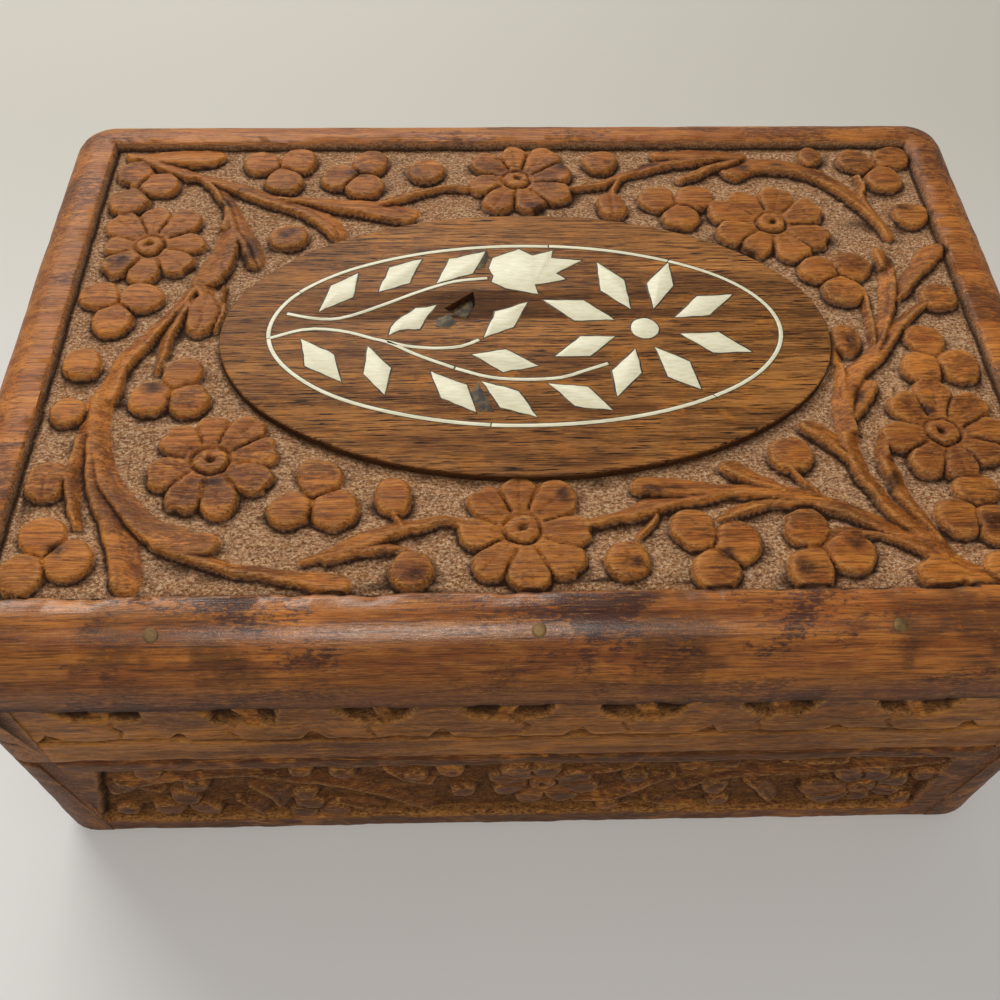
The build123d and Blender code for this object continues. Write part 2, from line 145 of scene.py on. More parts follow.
class Carving:
    """A carved face: how far each point of a grid stands above the sunk ground."""

    def __init__(self, xs, ys, depth, seed):
        self.xs, self.ys, self.depth, self.seed = xs, ys, depth, seed
        x, y = self.true_x, self.true_y = np.meshgrid(xs, ys)
        shift_x, shift_y = (WANDER * uneven(x, y, 3.7, seed + number) for number in (7, 8))
        self.x = x + shift_x + 0.3 * WANDER * uneven(x, y, 1.1, seed + 9)
        self.y = y + shift_y + 0.3 * WANDER * uneven(x, y, 1.1, seed + 10)
        self.height, self.stain, self.raised = np.zeros((3, *x.shape))

    def window(self, low, high):
        """The part of the grid between two corners."""
        rows = slice(*np.searchsorted(self.ys, (low[1], high[1])))
        columns = slice(*np.searchsorted(self.xs, (low[0], high[0])))
        return rows, columns

    def about(self, x, y, reach):
        """The part of the grid near a place, with the distances from it."""
        where = self.window((x - reach, y - reach), (x + reach, y + reach))
        return where, self.x[where] - x, self.y[where] - y

    def beside(self, line, reach):
        """The part of the grid along a line, with its places."""
        where = self.window(line[:, :2].min(0) - reach, line[:, :2].max(0) + reach)
        return where, self.x[where], self.y[where]

    def stand(self, where, inside, crown):
        """Leaves wood standing where inside is above 0, up to the height crown."""
        wall = np.clip(inside / WALL_SLOPE + 0.5, 0, 1)
        worn = 1 - 0.10 * np.exp(-np.clip(inside, 0, None) / 0.35)
        self.height[where] = np.maximum(self.height[where], wall * crown * worn)
        self.raised[where] = np.maximum(self.raised[where], smooth(1.6 * wall))

    def add_shade_and_dirt(self, amount):
        """Lets at least this much painted shade and dirt lie on the surface."""
        self.shade_and_dirt = np.maximum(self.shade_and_dirt, amount)

    def surface(self, border=0.0):
        """The values that the wood's material reads, for each point of the grid."""
        blank = np.zeros_like(self.x)
        return np.stack([1 - self.raised, self.shade_and_dirt, self.worn, self.stain, blank, blank + border], -1)

    def darken(self, x, y, across, along, strength=1.0):
        """A darker patch of a rounded, ragged outline, for stains and for the painted shade and dirt in each
        flower's pit.
        """
        where, dx, dy = self.about(x, y, 1.6 * max(across, along))
        ragged = 0.35 * uneven(self.x[where], self.y[where], 1.1, 77)
        spot = strength * smooth(1.35 + ragged - np.hypot(dx / across, dy / along))
        self.stain[where] = np.maximum(self.stain[where], spot)

    def finish(self):
        """Makes the surface uneven, finds its worn edges, and darkens its hollows with painted shade and
        dirt, most where walls face the front.
        """
        x, y = self.true_x, self.true_y
        tops = 0.13 * uneven(x, y, 4.1, self.seed) + 0.06 * uneven(x, 1.7 * y, 1.2, self.seed + 1)
        tops = tops + 0.035 * uneven(0.25 * x, y, 0.45, self.seed + 4)
        chips = 0.15 * uneven(x, 1.6 * y, 2.3, self.seed + 2) + 0.09 * uneven(x, 2.6 * y, 0.9, self.seed + 3)
        self.height += self.raised * (tops - 0.12) + (1 - self.raised) * chips
        self.height = blurred(np.clip(self.height, -0.25, self.depth), EDGE_BLUR)
        cells = 0.34 / (self.ys[1] - self.ys[0])
        soft = blurred(self.height, cells)
        wide = blurred(self.height, 3 * cells)
        rise_y, rise_x = np.gradient(blurred(self.height, 2 * cells))
        facing = rise_y / (np.hypot(rise_x, rise_y) + 0.01)
        behind = smooth(-facing * 1.3)
        self.height += (1 - self.raised) * 0.55 * behind * np.clip(wide / self.depth, 0, 1)
        # Painted shade and dirt in the hollows, darkest at the feet of walls that face the front, away from
        # the lamp behind
        front_shade_weight = 0.12 + 0.88 * smooth((facing + 0.75) / 1.3)
        near = soft - self.height
        self.shade_and_dirt = np.clip(near / 0.15, 0, 1) + np.clip((wide - self.height) / 0.7, 0, 1) * 0.25
        self.shade_and_dirt = np.clip(self.shade_and_dirt * front_shade_weight, 0, 1)
        self.worn = np.clip(-near / 0.16, 0, 1)


def curve_through(points, widths):
    """Points with widths along a smooth curve through a few places."""
    places = np.array([(*point, width) for point, width in zip(points, widths)], float)
    places = np.vstack([2 * places[0] - places[1], places, 2 * places[-1] - places[-2]])
    line = []
    for before, start, end, after in zip(places, places[1:], places[2:], places[3:]):
        steps = max(2, int(math.hypot(*(end - start)[:2]) / CURVE_STEP))
        for step in range(steps):
            t = step / steps
            bend = 2 * before - 5 * start + 4 * end - after
            twist = 3 * start - before - 3 * end + after
            line.append(0.5 * (2 * start + (end - before) * t + bend * t**2 + twist * t**3))
    line.append(places[-2])
    return np.array(line)


def carve_blade(carving, points, widths, vein=0.0, crown=0.96):
    """A stalk or leaf along a curve: its back edge is cut lower, and a vein may run along it."""
    line = curve_through(points, widths)
    where, x, y = carving.beside(line, 1.3 + max(widths) / 2)
    inside = np.full(x.shape, -9.0)
    across, back = np.zeros((2, *x.shape))
    for start, end in zip(line, line[1:]):
        dx, dy = (end - start)[:2]
        length = math.hypot(dx, dy)
        t = np.clip(((x - start[0]) * dx + (y - start[1]) * dy) / length**2, 0, 1)
        off_x, off_y = x - start[0] - t * dx, y - start[1] - t * dy
        half = (start[2] + t * (end[2] - start[2])) / 2
        here = half - np.hypot(off_x, off_y)
        aside = (dx * off_y - dy * off_x) / length / half
        closer = here > inside
        inside[closer], across[closer] = here[closer], aside[closer]
        back[closer] = aside[closer] * (1 if dx >= 0 else -1)
    crown = crown - 0.58 * smooth((back + 0.75) / 1.7) - 0.02 * across**2 - vein * ridge(across, 0.14)
    carving.stand(where, inside, carving.depth * crown)


def carve_bud(carving, x, y, across, along):
    """A round or oval knob, domed, with a knife's crease in the longer ones."""
    where, dx, dy = carving.about(x, y, max(across, along) + 1.5)
    share = (np.abs(dx / across) ** BUD_POWER + np.abs(dy / along) ** BUD_POWER) ** (1 / BUD_POWER)
    tilt = 0.05 * math.sin(3.7 * x + y) * dx / across - 0.10 * dy / along
    crown = 0.97 - 0.13 * share**3 + tilt - (0.12 if along > 3 else 0) * ridge(dx, 0.25)
    carving.stand(where, (1 - share) * min(across, along), carving.depth * crown)


def carve_trefoil(carving, lobes, radius):
    """Three round petals with cuts between them and a small pit in the middle."""
    centre = np.mean(lobes, axis=0)
    where, dx, dy = carving.about(*centre, radius + 6)
    x, y = carving.x[where], carving.y[where]
    gaps = np.array([np.hypot(x - lobe[0], y - lobe[1]) / radius for lobe in lobes])
    first, second = np.sort(gaps, axis=0)[:2]
    middle = 1.9 - np.hypot(dx, dy)
    tilt = 0.03 * np.sin(2.1 * np.argmin(gaps, axis=0) + centre[0]) * dx / radius - 0.05 * dy / radius
    crown = 0.93 - 0.12 * first**3 + tilt
    crown = crown - 0.42 * ridge(second - first, 0.10) * smooth(middle / 1.5 + 1.6)
    carving.stand(where, np.maximum((1 - first) * radius, middle), carving.depth * crown)


def carve_flower(carving, x, y, petals, seed):
    """A flower: petals round given places, with knife cuts between them and a ringed boss."""
    random = np.random.default_rng(seed)
    where, dx, dy = carving.about(x, y, FLOWER_REACH)
    out, angle = np.hypot(dx, dy), np.arctan2(dy, dx)
    inside = HEART - out
    crown = np.full(out.shape, 0.8)
    nearest = np.full((2, *out.shape), 9.0)
    for petal_x, petal_y in petals:
        aim, reach = math.atan2(petal_y - y, petal_x - x), math.hypot(petal_x - x, petal_y - y)
        size = 0.405 * reach * random.uniform(0.92, 1.08)
        way = (angle - aim + math.pi) % (2 * math.pi) - math.pi
        ahead, aside = out * np.cos(way) - 0.92 * reach, out * np.sin(way)
        here = size - np.hypot(ahead * 0.86, aside)
        notch = np.hypot(ahead - 1.1 * size, aside - 0.3 * random.normal())
        here = here - random.choice((0, 0.5, 0.9)) * ridge(notch, 0.9)
        inside = np.maximum(inside, here)
        closer = np.abs(way) < nearest[0]
        nearest = np.sort([*nearest, np.abs(way)], axis=0)[:2]
        level = random.uniform(0.76, 0.99) - 0.06 * math.sin(aim)
        lean = random.uniform(-0.25, 0.25)
        crown = np.where(closer, level + lean * way - 0.12 * (1 - out / reach), crown)
    cut = random.uniform(0.34, 0.50)
    from_cut = out * (nearest[1] - nearest[0]) / 2
    past_boss = smooth((out - 2.5) / 1.0)
    crown = crown - cut * ridge(from_cut, 0.17) * past_boss
    crown = crown - 0.07 * ridge(out * nearest[0], 0.16) * past_boss - 0.12 * ridge(out - 3.0, 0.8)
    boss = 0.93 - 0.12 * (out / BOSS) ** 4 - 0.04 * dy + 0.12 * uneven(dx, dy, 0.7, seed + 1)
    crown = np.where(out < BOSS, boss, crown) - 0.45 * ridge(out - 2.3, 0.22)
    crown = crown - 0.70 * ridge(out + 0.25 * uneven(dx, dy, 0.5, seed), 0.5)
    carving.stand(where, inside, carving.depth * np.clip(crown, 0.1, 1))
    # Painted shade and dirt in the pit in the flower's middle
    carving.darken(x, y, 0.6, 0.6, 0.9)


def petals_round(x, y, reach, turn):
    """Places of evenly spread petals."""
    turns = [turn + number * 2 * math.pi / PETAL_COUNT for number in range(PETAL_COUNT)]
    return [(x + reach * math.cos(angle), y + reach * math.sin(angle)) for angle in turns]


def carve_motifs(carving, blades, buds, trefoils, flowers, lobe, seed):
    """What stands on the ground: stalks and leaves, knobs, trefoils and flowers."""
    for blade in blades:
        carve_blade(carving, *blade)
    for bud in buds:
        carve_bud(carving, *bud)
    for lobes in trefoils:
        carve_trefoil(carving, lobes, lobe)
    for number, flower in enumerate(flowers):
        carve_flower(carving, *flower, seed + number)


# The lid's carving, in millimetres from the middle of the lid: x to the right and y to the back
LID_FLOWERS = [
    (0, 34.7, [(-5, 39.3), (0, 40.8), (4.8, 40.2), (6.8, 36), (6.2, 31.2), (2.2, 28.6), (-3, 28.8),
     (-5.8, 33.4)]),
    (40.3, 23.5, [(36.6, 29), (42.2, 29.8), (46.6, 26.4), (46.6, 20.4), (43, 17.4), (37.2, 18),
     (33.9, 21.4), (33.4, 26.4)]),
    (56.5, -19.3, [(52.4, -14.4), (57, -12.6), (61.6, -14.8), (63.2, -19), (61.6, -22.6), (57.4, -25.2),
     (53, -24.4), (50, -19.8)]),
    (-1.3, -34.4, [(-1.3, -28.3), (3.4, -29.4), (5.3, -34.6), (4, -39.2), (-0.5, -41), (-5.3, -39.4),
     (-7.6, -34.8), (-5.8, -29.8)]),
    (-42, -23, [(-42.4, -17), (-38, -17.8), (-35.7, -21.4), (-36.2, -26), (-40.2, -29.6), (-44.8, -29.2),
     (-48, -25.2), (-46.8, -19.4)]),
    (-56.8, 19, [(-57.2, 25.6), (-52.4, 24.6), (-50.8, 19.6), (-52, 14.8), (-57, 12.9), (-61.3, 14.6),
     (-62.4, 19), (-61.8, 24)]),
]
LID_TREFOILS = [
    ((-42, 39.3), (-36, 39.8), (-37.8, 34.6)), ((-29, 35.7), (-24.3, 39.3), (-24.8, 33.4)),
    ((-57.6, 33.8), (-62.4, 36.6), (-62.2, 29.2)), ((-62.6, 8.4), (-56.2, 8), (-60, 3)),
    ((-48, -7.5), (-51.8, -12), (-46.4, -12.3)), ((-27.6, -25.8), (-31, -31), (-25.2, -31)),
    ((-61.4, -34.6), (-57.5, -38), (-62.8, -40.2)), ((20.5, -34.6), (26, -36.6), (22.5, -40.6)),
    ((35, -34.4), (40, -38.4), (34.5, -40.9)), ((54.8, -33.2), (59.6, -34.4), (58.3, -28.8)),
    ((58.5, -2.2), (56.6, -7.6), (62.2, -7.4)), ((45.8, 12.8), (51, 13.6), (48.6, 8)),
    ((57.2, 39.2), (63.6, 40), (60.8, 34.4)), ((22.8, 29.8), (29, 30), (26, 25.3)),
]
LID_BUDS = [
    (-14.7, 37, 2.9, 2.9), (14.3, 39, 2.8, 2.7), (15.3, 28.2, 2.3, 3.2), (-36, 20.8, 2.9, 2.9),
    (-62.5, -5.3, 2.7, 2.7), (-62.6, -14.3, 2.3, 2.5), (-17.7, -29, 2.5, 2.9), (-15.3, -40, 2.7, 2.9),
    (11.8, -39, 2.9, 3), (35.2, -23, 3.1, 3), (46.9, -1.9, 2.1, 3.1), (63.2, 25.6, 2.8, 2.8),
    (62.7, 6.7, 2.8, 2.9), (49.5, 40.3, 2.1, 2.6), (-62.9, -25.8, 2.7, 3.3), (50.4, -41.4, 3.2, 2),
    (58.6, -40.6, 2.6, 2.4), (-46.9, 4.2, 2.5, 4.4),
]
# Stalks and leaves: the places that each runs through, its widths there and its vein
LID_BLADES = [
    ([(-54, 37.6), (-49, 33.4), (-45.8, 28.5), (-43.3, 22.5), (-41.2, 17.6), (-40.4, 15.6)],
     [1.6, 2, 2.4, 2.8, 3.2, 3], 0.2),
    ([(-46.4, 29.5), (-45.2, 24), (-45.6, 18.5), (-46.4, 14.5), (-47, 12.4)],
     [1.4, 2.6, 3.8, 4.8, 4.6], 0),
    ([(-53, 36.8), (-44.5, 32.6), (-38, 29.4), (-32.5, 26.3), (-29.4, 23.4), (-28.6, 21.9)],
     [1.8, 2.8, 3.2, 3.6, 3.8, 3.4], 0.15),
    ([(-38, 30.6), (-31, 29), (-24, 28), (-19.5, 27), (-17.8, 26.4)], [1.6, 3, 4.2, 4.4, 4.2], 0.12),
    ([(-22, 29.2), (-16, 31.6), (-11, 32.9), (-6, 33)], [1.6, 1.8, 1.7, 1.6], 0),
    ([(-63.5, 40.8), (-57, 41), (-52, 41.2), (-50.4, 41.2)], [2, 4.4, 4.8, 4.4], 0),
    ([(-64, 41.5), (-58, 39), (-53, 36.4)], [1.6, 3, 2.6], 0),
    ([(-49.5, 9), (-52.5, 2.8), (-56, -3.6), (-58, -10), (-58, -16), (-56.6, -22), (-53.5, -28),
     (-49, -33), (-44.6, -35.6), (-41, -36)], [2, 2.2, 3, 3.4, 3, 2.6, 2.8, 3.6, 4, 4], 0),
    ([(-58.8, -15), (-57, -24), (-54, -31), (-51, -37), (-49.9, -41)], [2, 2.6, 3.2, 4, 4], 0),
    ([(-59.5, -12), (-59.6, -20), (-59, -28), (-57.5, -33)], [2, 2.6, 2.2, 1], 0),
    ([(-50, 6), (-51.4, 0), (-52, -6.6)], [2, 2, 0.8], 0),
    ([(-44.3, 9.5), (-44.2, 5), (-44.6, 1)], [1.2, 1.3, 0.6], 0),
    ([(-47.5, 10.5), (-47, 8)], [3.4, 2.6], 0),
    ([(-47, -36), (-40, -38.6), (-34, -40), (-28, -41.3), (-24, -42.2)], [2, 1.8, 2, 2.6, 3.2], 0),
    ([(-28.4, -38.4), (-22, -36), (-17, -33.7), (-12, -32.9), (-8, -33.3)], [1.2, 2.6, 2.2, 1.7, 1.6], 0),
    ([(-26, -38.4), (-20, -36.6), (-15.6, -36.7)], [1.2, 2, 0.5], 0),
    ([(-18, -31), (-16.5, -33.4)], [1.2, 1.2], 0),
    ([(14.8, -27.9), (18, -28), (23, -28.3), (28, -28.8)], [3.2, 3.6, 2.4, 1.6], 0.22),
    ([(6, -33.4), (10, -32.5), (15, -31.2), (20, -29.8), (26, -28.7), (31, -28.7), (36, -29.7),
     (41, -32), (47, -35.8), (53, -40.5), (57, -43.5)],
     [1.3, 1.7, 2.2, 2.4, 2.4, 2.6, 2.8, 2.8, 3, 3.6, 4], 0),
    ([(13.4, -35.6), (15.6, -32.4)], [0.9, 1.2], 0),
    ([(27, -24.8), (30, -26.8), (33.4, -28.4)], [3, 2.4, 1], 0.1),
    ([(24, -33.4), (28, -31.5), (32, -30.1), (36, -30.4)], [1, 1.8, 2, 1.6], 0),
    ([(36, -35.2), (42, -35.2), (47, -36.8), (51, -39)], [0.7, 1.2, 1.8, 2], 0),
    ([(51.5, -38), (47.6, -33), (45, -28.5), (43.8, -23), (43.7, -17), (44.9, -12), (47, -8.3),
     (50.5, -5), (54, -1), (57.5, 3), (60.4, 5.4)],
     [3, 2.6, 2.4, 2.6, 2.8, 3, 2.8, 2.4, 2.2, 1.8, 1.2], 0),
    ([(44, -24.5), (41, -20.4), (38.6, -18.2)], [1.4, 3, 3], 0.15),
    ([(45, -16), (46.6, -12.6), (48.2, -10.6)], [2, 3, 2.8], 0.1),
    ([(52, -37), (49.2, -31), (47.9, -26.5), (47.6, -22), (48.2, -19.8)], [1.2, 2, 2.3, 1.8, 1.2], 0),
    ([(44.4, -13), (45, -8), (45, -4)], [1.6, 1.6, 1.2], 0),
    ([(50.5, -4.6), (53.4, 2), (55.6, 8), (56.4, 13), (55.9, 16.4)], [1.6, 2.2, 2.7, 2.8, 2.4], 0.15),
    ([(56.6, 6.5), (60, 11.4), (63.6, 15.6), (65.4, 17.4)], [1.2, 2.6, 3.4, 2.6], 0),
    ([(50.8, -2), (51.3, 3), (51.4, 8)], [1.2, 1.4, 1.2], 0),
    ([(41.4, 9.5), (43, 4), (44, -2)], [1.4, 1.8, 0.8], 0),
    ([(24.4, 41), (28.4, 41), (33, 41), (38, 40.8)], [3, 3.4, 3.2, 2.6], 0),
    ([(9, 32.4), (13, 33.4), (17, 35.2), (22, 37.6), (27, 39.4), (33, 40.8)],
     [1.3, 1.7, 2, 2.4, 3, 3.4], 0),
    ([(17, 35), (16, 32.6), (15.5, 30.8)], [1.4, 1.2, 1.2], 0),
    ([(27, 34.4), (31, 36.8), (36.6, 39.8)], [1.2, 2.2, 2.8], 0),
    ([(36.4, 36.6), (40, 38), (45.5, 38), (50.5, 35.4), (54.4, 30.6), (57.2, 25), (58.5, 20.4)],
     [4, 4.4, 4, 3.4, 2.8, 2.3, 2], 0),
    ([(56.6, 35), (56.6, 30), (57.4, 25)], [1.3, 1.5, 1.6], 0),
    ([(35.3, -26), (37.2, -28.6)], [1.2, 1.2], 0),
]
LID_STAINS = [
    (-46.5, 29.5, 1.2, 1.8), (-41.6, 17.8, 1.2, 3.2), (-51.4, -10.6, 1.3, 1.9), (47.4, -3, 1, 2),
    (46.3, -12.6, 1.2, 1.4), (35.6, 15.2, 1.8, 2.6), (3, 27.4, 1.6, 1.2), (47.8, -27.4, 1, 1.6),
    (59, -34.4, 2, 1.6), (7.2, 37.4, 1.6, 1), (-36, 21.6, 1.8, 1.6), (-41, -26.6, 3, 0.7),
    (16.2, -28.6, 2, 0.8), (4.4, -28.6, 1, 1.4), (12.4, -39.6, 1.2, 1), (19, -28.2, 1.8, 0.6),
    (-61, 15, 2, 1.8), (-26.5, 36.6, 1.8, 1.6), (22.4, 38.4, 1.6, 0.9), (38, 37.5, 1.6, 1.4),
    (62.8, 26.8, 1.8, 1.2), (-7.6, 24.2, 2.6, 0.5), (57, 15.6, 0.9, 2), (43.8, 38, 1.4, 1),
    (-14.8, -41, 1.4, 1.2), (40.6, -37, 1.2, 1.4), (33.4, -40.6, 1.4, 1.6), (24.2, -38.6, 1.4, 1.2),
    (-59, -36.4, 1.4, 1), (55.4, -15.4, 1.4, 1),
]

# Dark patches on the front border: the middle of each and half its length
FRONT_STAINS = [(-44, 13), (-66, 4), (15, 6), (49, 9)]


def inside_oval(x, y):
    """The distance inside the raised oval's edge, roughly, in millimetres."""
    u, v = (x - OVAL_CENTRE[0]) / OVAL_X, (y - OVAL_CENTRE[1]) / OVAL_Y
    share = np.maximum(np.hypot(u, v), 0.01)
    return (1 - share) * share / np.hypot(u / OVAL_X, v / OVAL_Y).clip(1e-6)


def inside_field(x, y):
    """The distance inside the sunk field's edge."""
    return np.minimum(FIELD_X - np.abs(x), FIELD_Y - np.abs(y))


def carve_lid():
    """The carved field of the lid round the oval."""
    xs, ys = (np.linspace(-half, half, 2 * int(half / FIELD_STEP) + 1) for half in (FIELD_X, FIELD_Y))
    carving = Carving(xs, ys, FIELD_DEPTH, 11)
    carve_motifs(carving, LID_BLADES, LID_BUDS, LID_TREFOILS, LID_FLOWERS, LID_LOBE, 20)
    for stain in LID_STAINS:
        carving.darken(*stain)
    carving.finish()
    from_edge = inside_field(carving.true_x, carving.true_y)
    ragged = 0.12 * uneven(carving.x, carving.y, 5.0, 3) + 0.07 * uneven(carving.x, carving.y, 1.3, 4)
    rim = smooth((0.24 - from_edge + ragged) / 0.3)
    carving.height = np.maximum(carving.height, rim * (FIELD_DEPTH - BORDER_TOP))
    carving.height -= 0.2 * ridge(from_edge - 0.8, 0.45) * (1 - carving.raised)
    # Painted shade and dirt in a thin line at the foot of the border's wall
    carving.add_shade_and_dirt(ridge(from_edge - 0.42 - ragged, 0.33, 4))
    carving.raised = np.maximum(carving.raised, rim)
    # Painted shade on the ground round the foot of the oval
    carving.add_shade_and_dirt(0.9 * smooth(1.1 + inside_oval(carving.true_x, carving.true_y) / 0.7))
    return carving


# What the wood's material reads at each point of a mesh
SURFACE_VALUES = ("ground", "shade_and_dirt", "worn", "stain", "bare", "border")


def added(name, data):
    """A new object in the scene."""
    thing = bpy.data.objects.new(name, data)
    bpy.context.scene.collection.objects.link(thing)
    return thing


def mesh_piece(name, points, faces, smooth_degrees, values=()):
    """A mesh object from points in millimetres, with outward faces and its surface values."""
    mesh = bpy.data.meshes.new(name)
    mesh.from_pydata((np.asarray(points) * MM).tolist(), [], faces)
    for value, numbers in zip(SURFACE_VALUES, np.transpose(values)):
        attribute = mesh.attributes.new(value, "FLOAT", "POINT")
        attribute.data.foreach_set("value", np.ascontiguousarray(numbers, np.float32))
    mesh.validate()
    piece = added(name, mesh)
    shape = bmesh.new()
    shape.from_mesh(mesh)
    bmesh.ops.remove_doubles(shape, verts=shape.verts, dist=0.00005 * MM)
    bmesh.ops.recalc_face_normals(shape, faces=shape.faces)
    shape.to_mesh(mesh)
    shape.free()
    mesh.shade_smooth()
    mesh.set_sharp_from_angle(angle=math.radians(smooth_degrees))
    return piece


def rounded_rectangle_points(field, outward, corner):
    """Places round the board, each out from its place on the field's edge."""
    half = np.array([FIELD_X + outward, FIELD_Y + outward])
    spread = field * half / np.array([FIELD_X, FIELD_Y])
    core = np.clip(spread, -(half - corner), half - corner)
    out = spread - core
    length = np.maximum(np.hypot(out[:, 0], out[:, 1]), 1e-9)[:, None]
    return np.where(length > 1e-6, core + out / length * corner, spread)


def cell_corners(grid):
    """The four corners of every cell of a grid, in order round it."""
    return grid[:-1, :-1], grid[:-1, 1:], grid[1:, 1:], grid[1:, :-1]


def split_cells(grid, height, kept):
    """Two triangles for each kept cell of a grid, cut along the flatter diagonal."""
    a, b, c, d = cell_corners(grid)
    corner_heights = cell_corners(height)
    rising = np.abs(corner_heights[0] - corner_heights[2]) <= np.abs(corner_heights[1] - corner_heights[3])
    parts = [np.stack(three, -1)[kept & rising] for three in ((a, b, c), (a, c, d))]
    parts += [np.stack(three, -1)[kept & ~rising] for three in ((a, b, d), (b, c, d))]
    return np.vstack(parts).tolist()


def border_profile(full_drop):
    """How far out and how far down the border's lines run, from the field to under the board."""
    profile = [(0.5, 0.02), (BORDER_FLAT, 0.0)]
    for degrees in (10, 22, 34, 46, 58, 70, 80, 90):
        angle = math.radians(degrees)
        out = BORDER_FLAT + BORDER_CURVE_OUT * math.sin(angle)
        profile.append((out, BORDER_CURVE_DOWN * (1 - math.cos(angle))))
    profile += [(BORDER, (BORDER_CURVE_DOWN + full_drop) / 2), (BORDER, full_drop - 0.5)]
    return profile + [(BORDER - 0.5, full_drop), (BORDER - 2.0, full_drop)]


def border_ring(field, outward, drop, full_drop, bare):
    """One line of points round the border, with their surface values."""
    corner = FIELD_CORNER + (BOARD_CORNER - FIELD_CORNER) * outward / BORDER
    x, y = rounded_rectangle_points(field, outward, corner).T
    along = uneven(x + 0.6 * drop, y - 0.6 * drop, 7.0, 31) + 0.5 * uneven(x + drop, y - drop, 2.2, 32)
    along = np.clip(1 + along, 0, None)
    inward = 0.12 * along * smooth(drop / 4) * (drop < full_drop) + 0.02
    lift = -0.05 * along - 0.005 if drop < 3 else 0.0
    if outward == BORDER and drop > full_drop - 1:
        inward = inward + 0.5 * np.clip(uneven(x, y, 1.7, 33) - 0.3, 0, 1)
        lift = 0.4 * np.clip(uneven(x, y, 2.6, 34) - 0.2, 0, 1) * (drop < full_drop)
    level = LID_TOP - drop + lift + 0 * x
    dark = sum(ridge(x - middle, half, 4) for middle, half in FRONT_STAINS)
    dark = dark + 0.7 * uneven(x, 2.5 * y + drop, 5.0, 41) + 0.5 * uneven(x, 3 * drop + y, 1.5, 42)
    # Dark patches on the front border, and the board's edge is made darker lower down, towards its underside
    stain = np.maximum(0.7 * smooth((dark - 0.5) / 0.7) * (y < -FIELD_Y), 0.5 * smooth((drop - 4) / 4))
    polish = (0.25 + 0.75 * smooth((-FIELD_Y - y) / 2 + 1)) * (1 - 0.9 * smooth((drop - 2.5) / 3))
    blank = 0 * x
    # Painted shade along the board's lower edge and underside, where it meets the rail
    shade_and_dirt = blank + 0.6 * (abs(drop - full_drop) < 0.6)
    ring = np.column_stack([x * (1 - inward / BOARD_HIGH[0]), y * (1 - inward / BOARD_HIGH[1]), level])
    return ring, np.column_stack([blank, shade_and_dirt, blank, stain, blank + bare, polish])


def make_lid_board(carving):
    """The lid's board: rounded border, carved field with its floor, the oval and the underside."""
    x, y = carving.true_x, carving.true_y
    grid = np.arange(x.size).reshape(x.shape)
    points = [np.stack([x, y, LID_TOP - FIELD_DEPTH + carving.height], -1).reshape(-1, 3)]
    values = [carving.surface(0.25 * (inside_field(x, y) < 0.1)).reshape(-1, len(SURFACE_VALUES))]
    cell_kept = np.all(cell_corners(inside_oval(x, y) < OVAL_OVERLAP), axis=0)
    faces = split_cells(grid, carving.height, cell_kept)
    before = np.concatenate([grid[0, :-1], grid[:-1, -1], grid[-1, :0:-1], grid[:0:-1, 0]])
    field, count = points[0][before, :2], len(before)
    full_drop = LID_TOP - BOARD_BOTTOM
    profile = border_profile(full_drop)
    for number, (outward, drop) in enumerate(profile):
        ring, ring_values = border_ring(field, outward, drop, full_drop, number == len(profile) - 1)
        points.append(ring)
        values.append(ring_values)
        ids = np.arange(count) + x.size + number * count
        faces += np.stack([before, ids, np.roll(ids, -1), np.roll(before, -1)], -1).tolist()
        before = ids
    faces.append(before[::-1].tolist())
    board = mesh_piece("lid_board", np.vstack(points), faces, 75, np.vstack(values))
    shape = bmesh.new()
    shape.from_mesh(board.data)
    loose = [v for v in shape.verts if not v.link_faces]
    bmesh.ops.delete(shape, geom=loose, context="VERTS")
    bmesh.ops.holes_fill(shape, edges=[e for e in shape.edges if e.is_boundary], sides=0)
    shape.to_mesh(board.data)
    shape.free()
    bpy.context.view_layer.objects.active = board
    group = board.vertex_groups.new(name="field")
    carved = [v.index for v in board.data.vertices if v.co.z > (LID_TOP - FIELD_REACH) * MM]
    group.add(carved, 1.0, "REPLACE")
    fewer = board.modifiers.new("fewer_faces", "DECIMATE")
    fewer.ratio, fewer.vertex_group = FACES_KEPT, group.name
    bpy.ops.object.modifier_apply(modifier=fewer.name)
    for vertex in board.data.vertices:
        vertex.co.z = min(vertex.co.z, (LID_TOP - CLEARANCE) * MM)
    return board


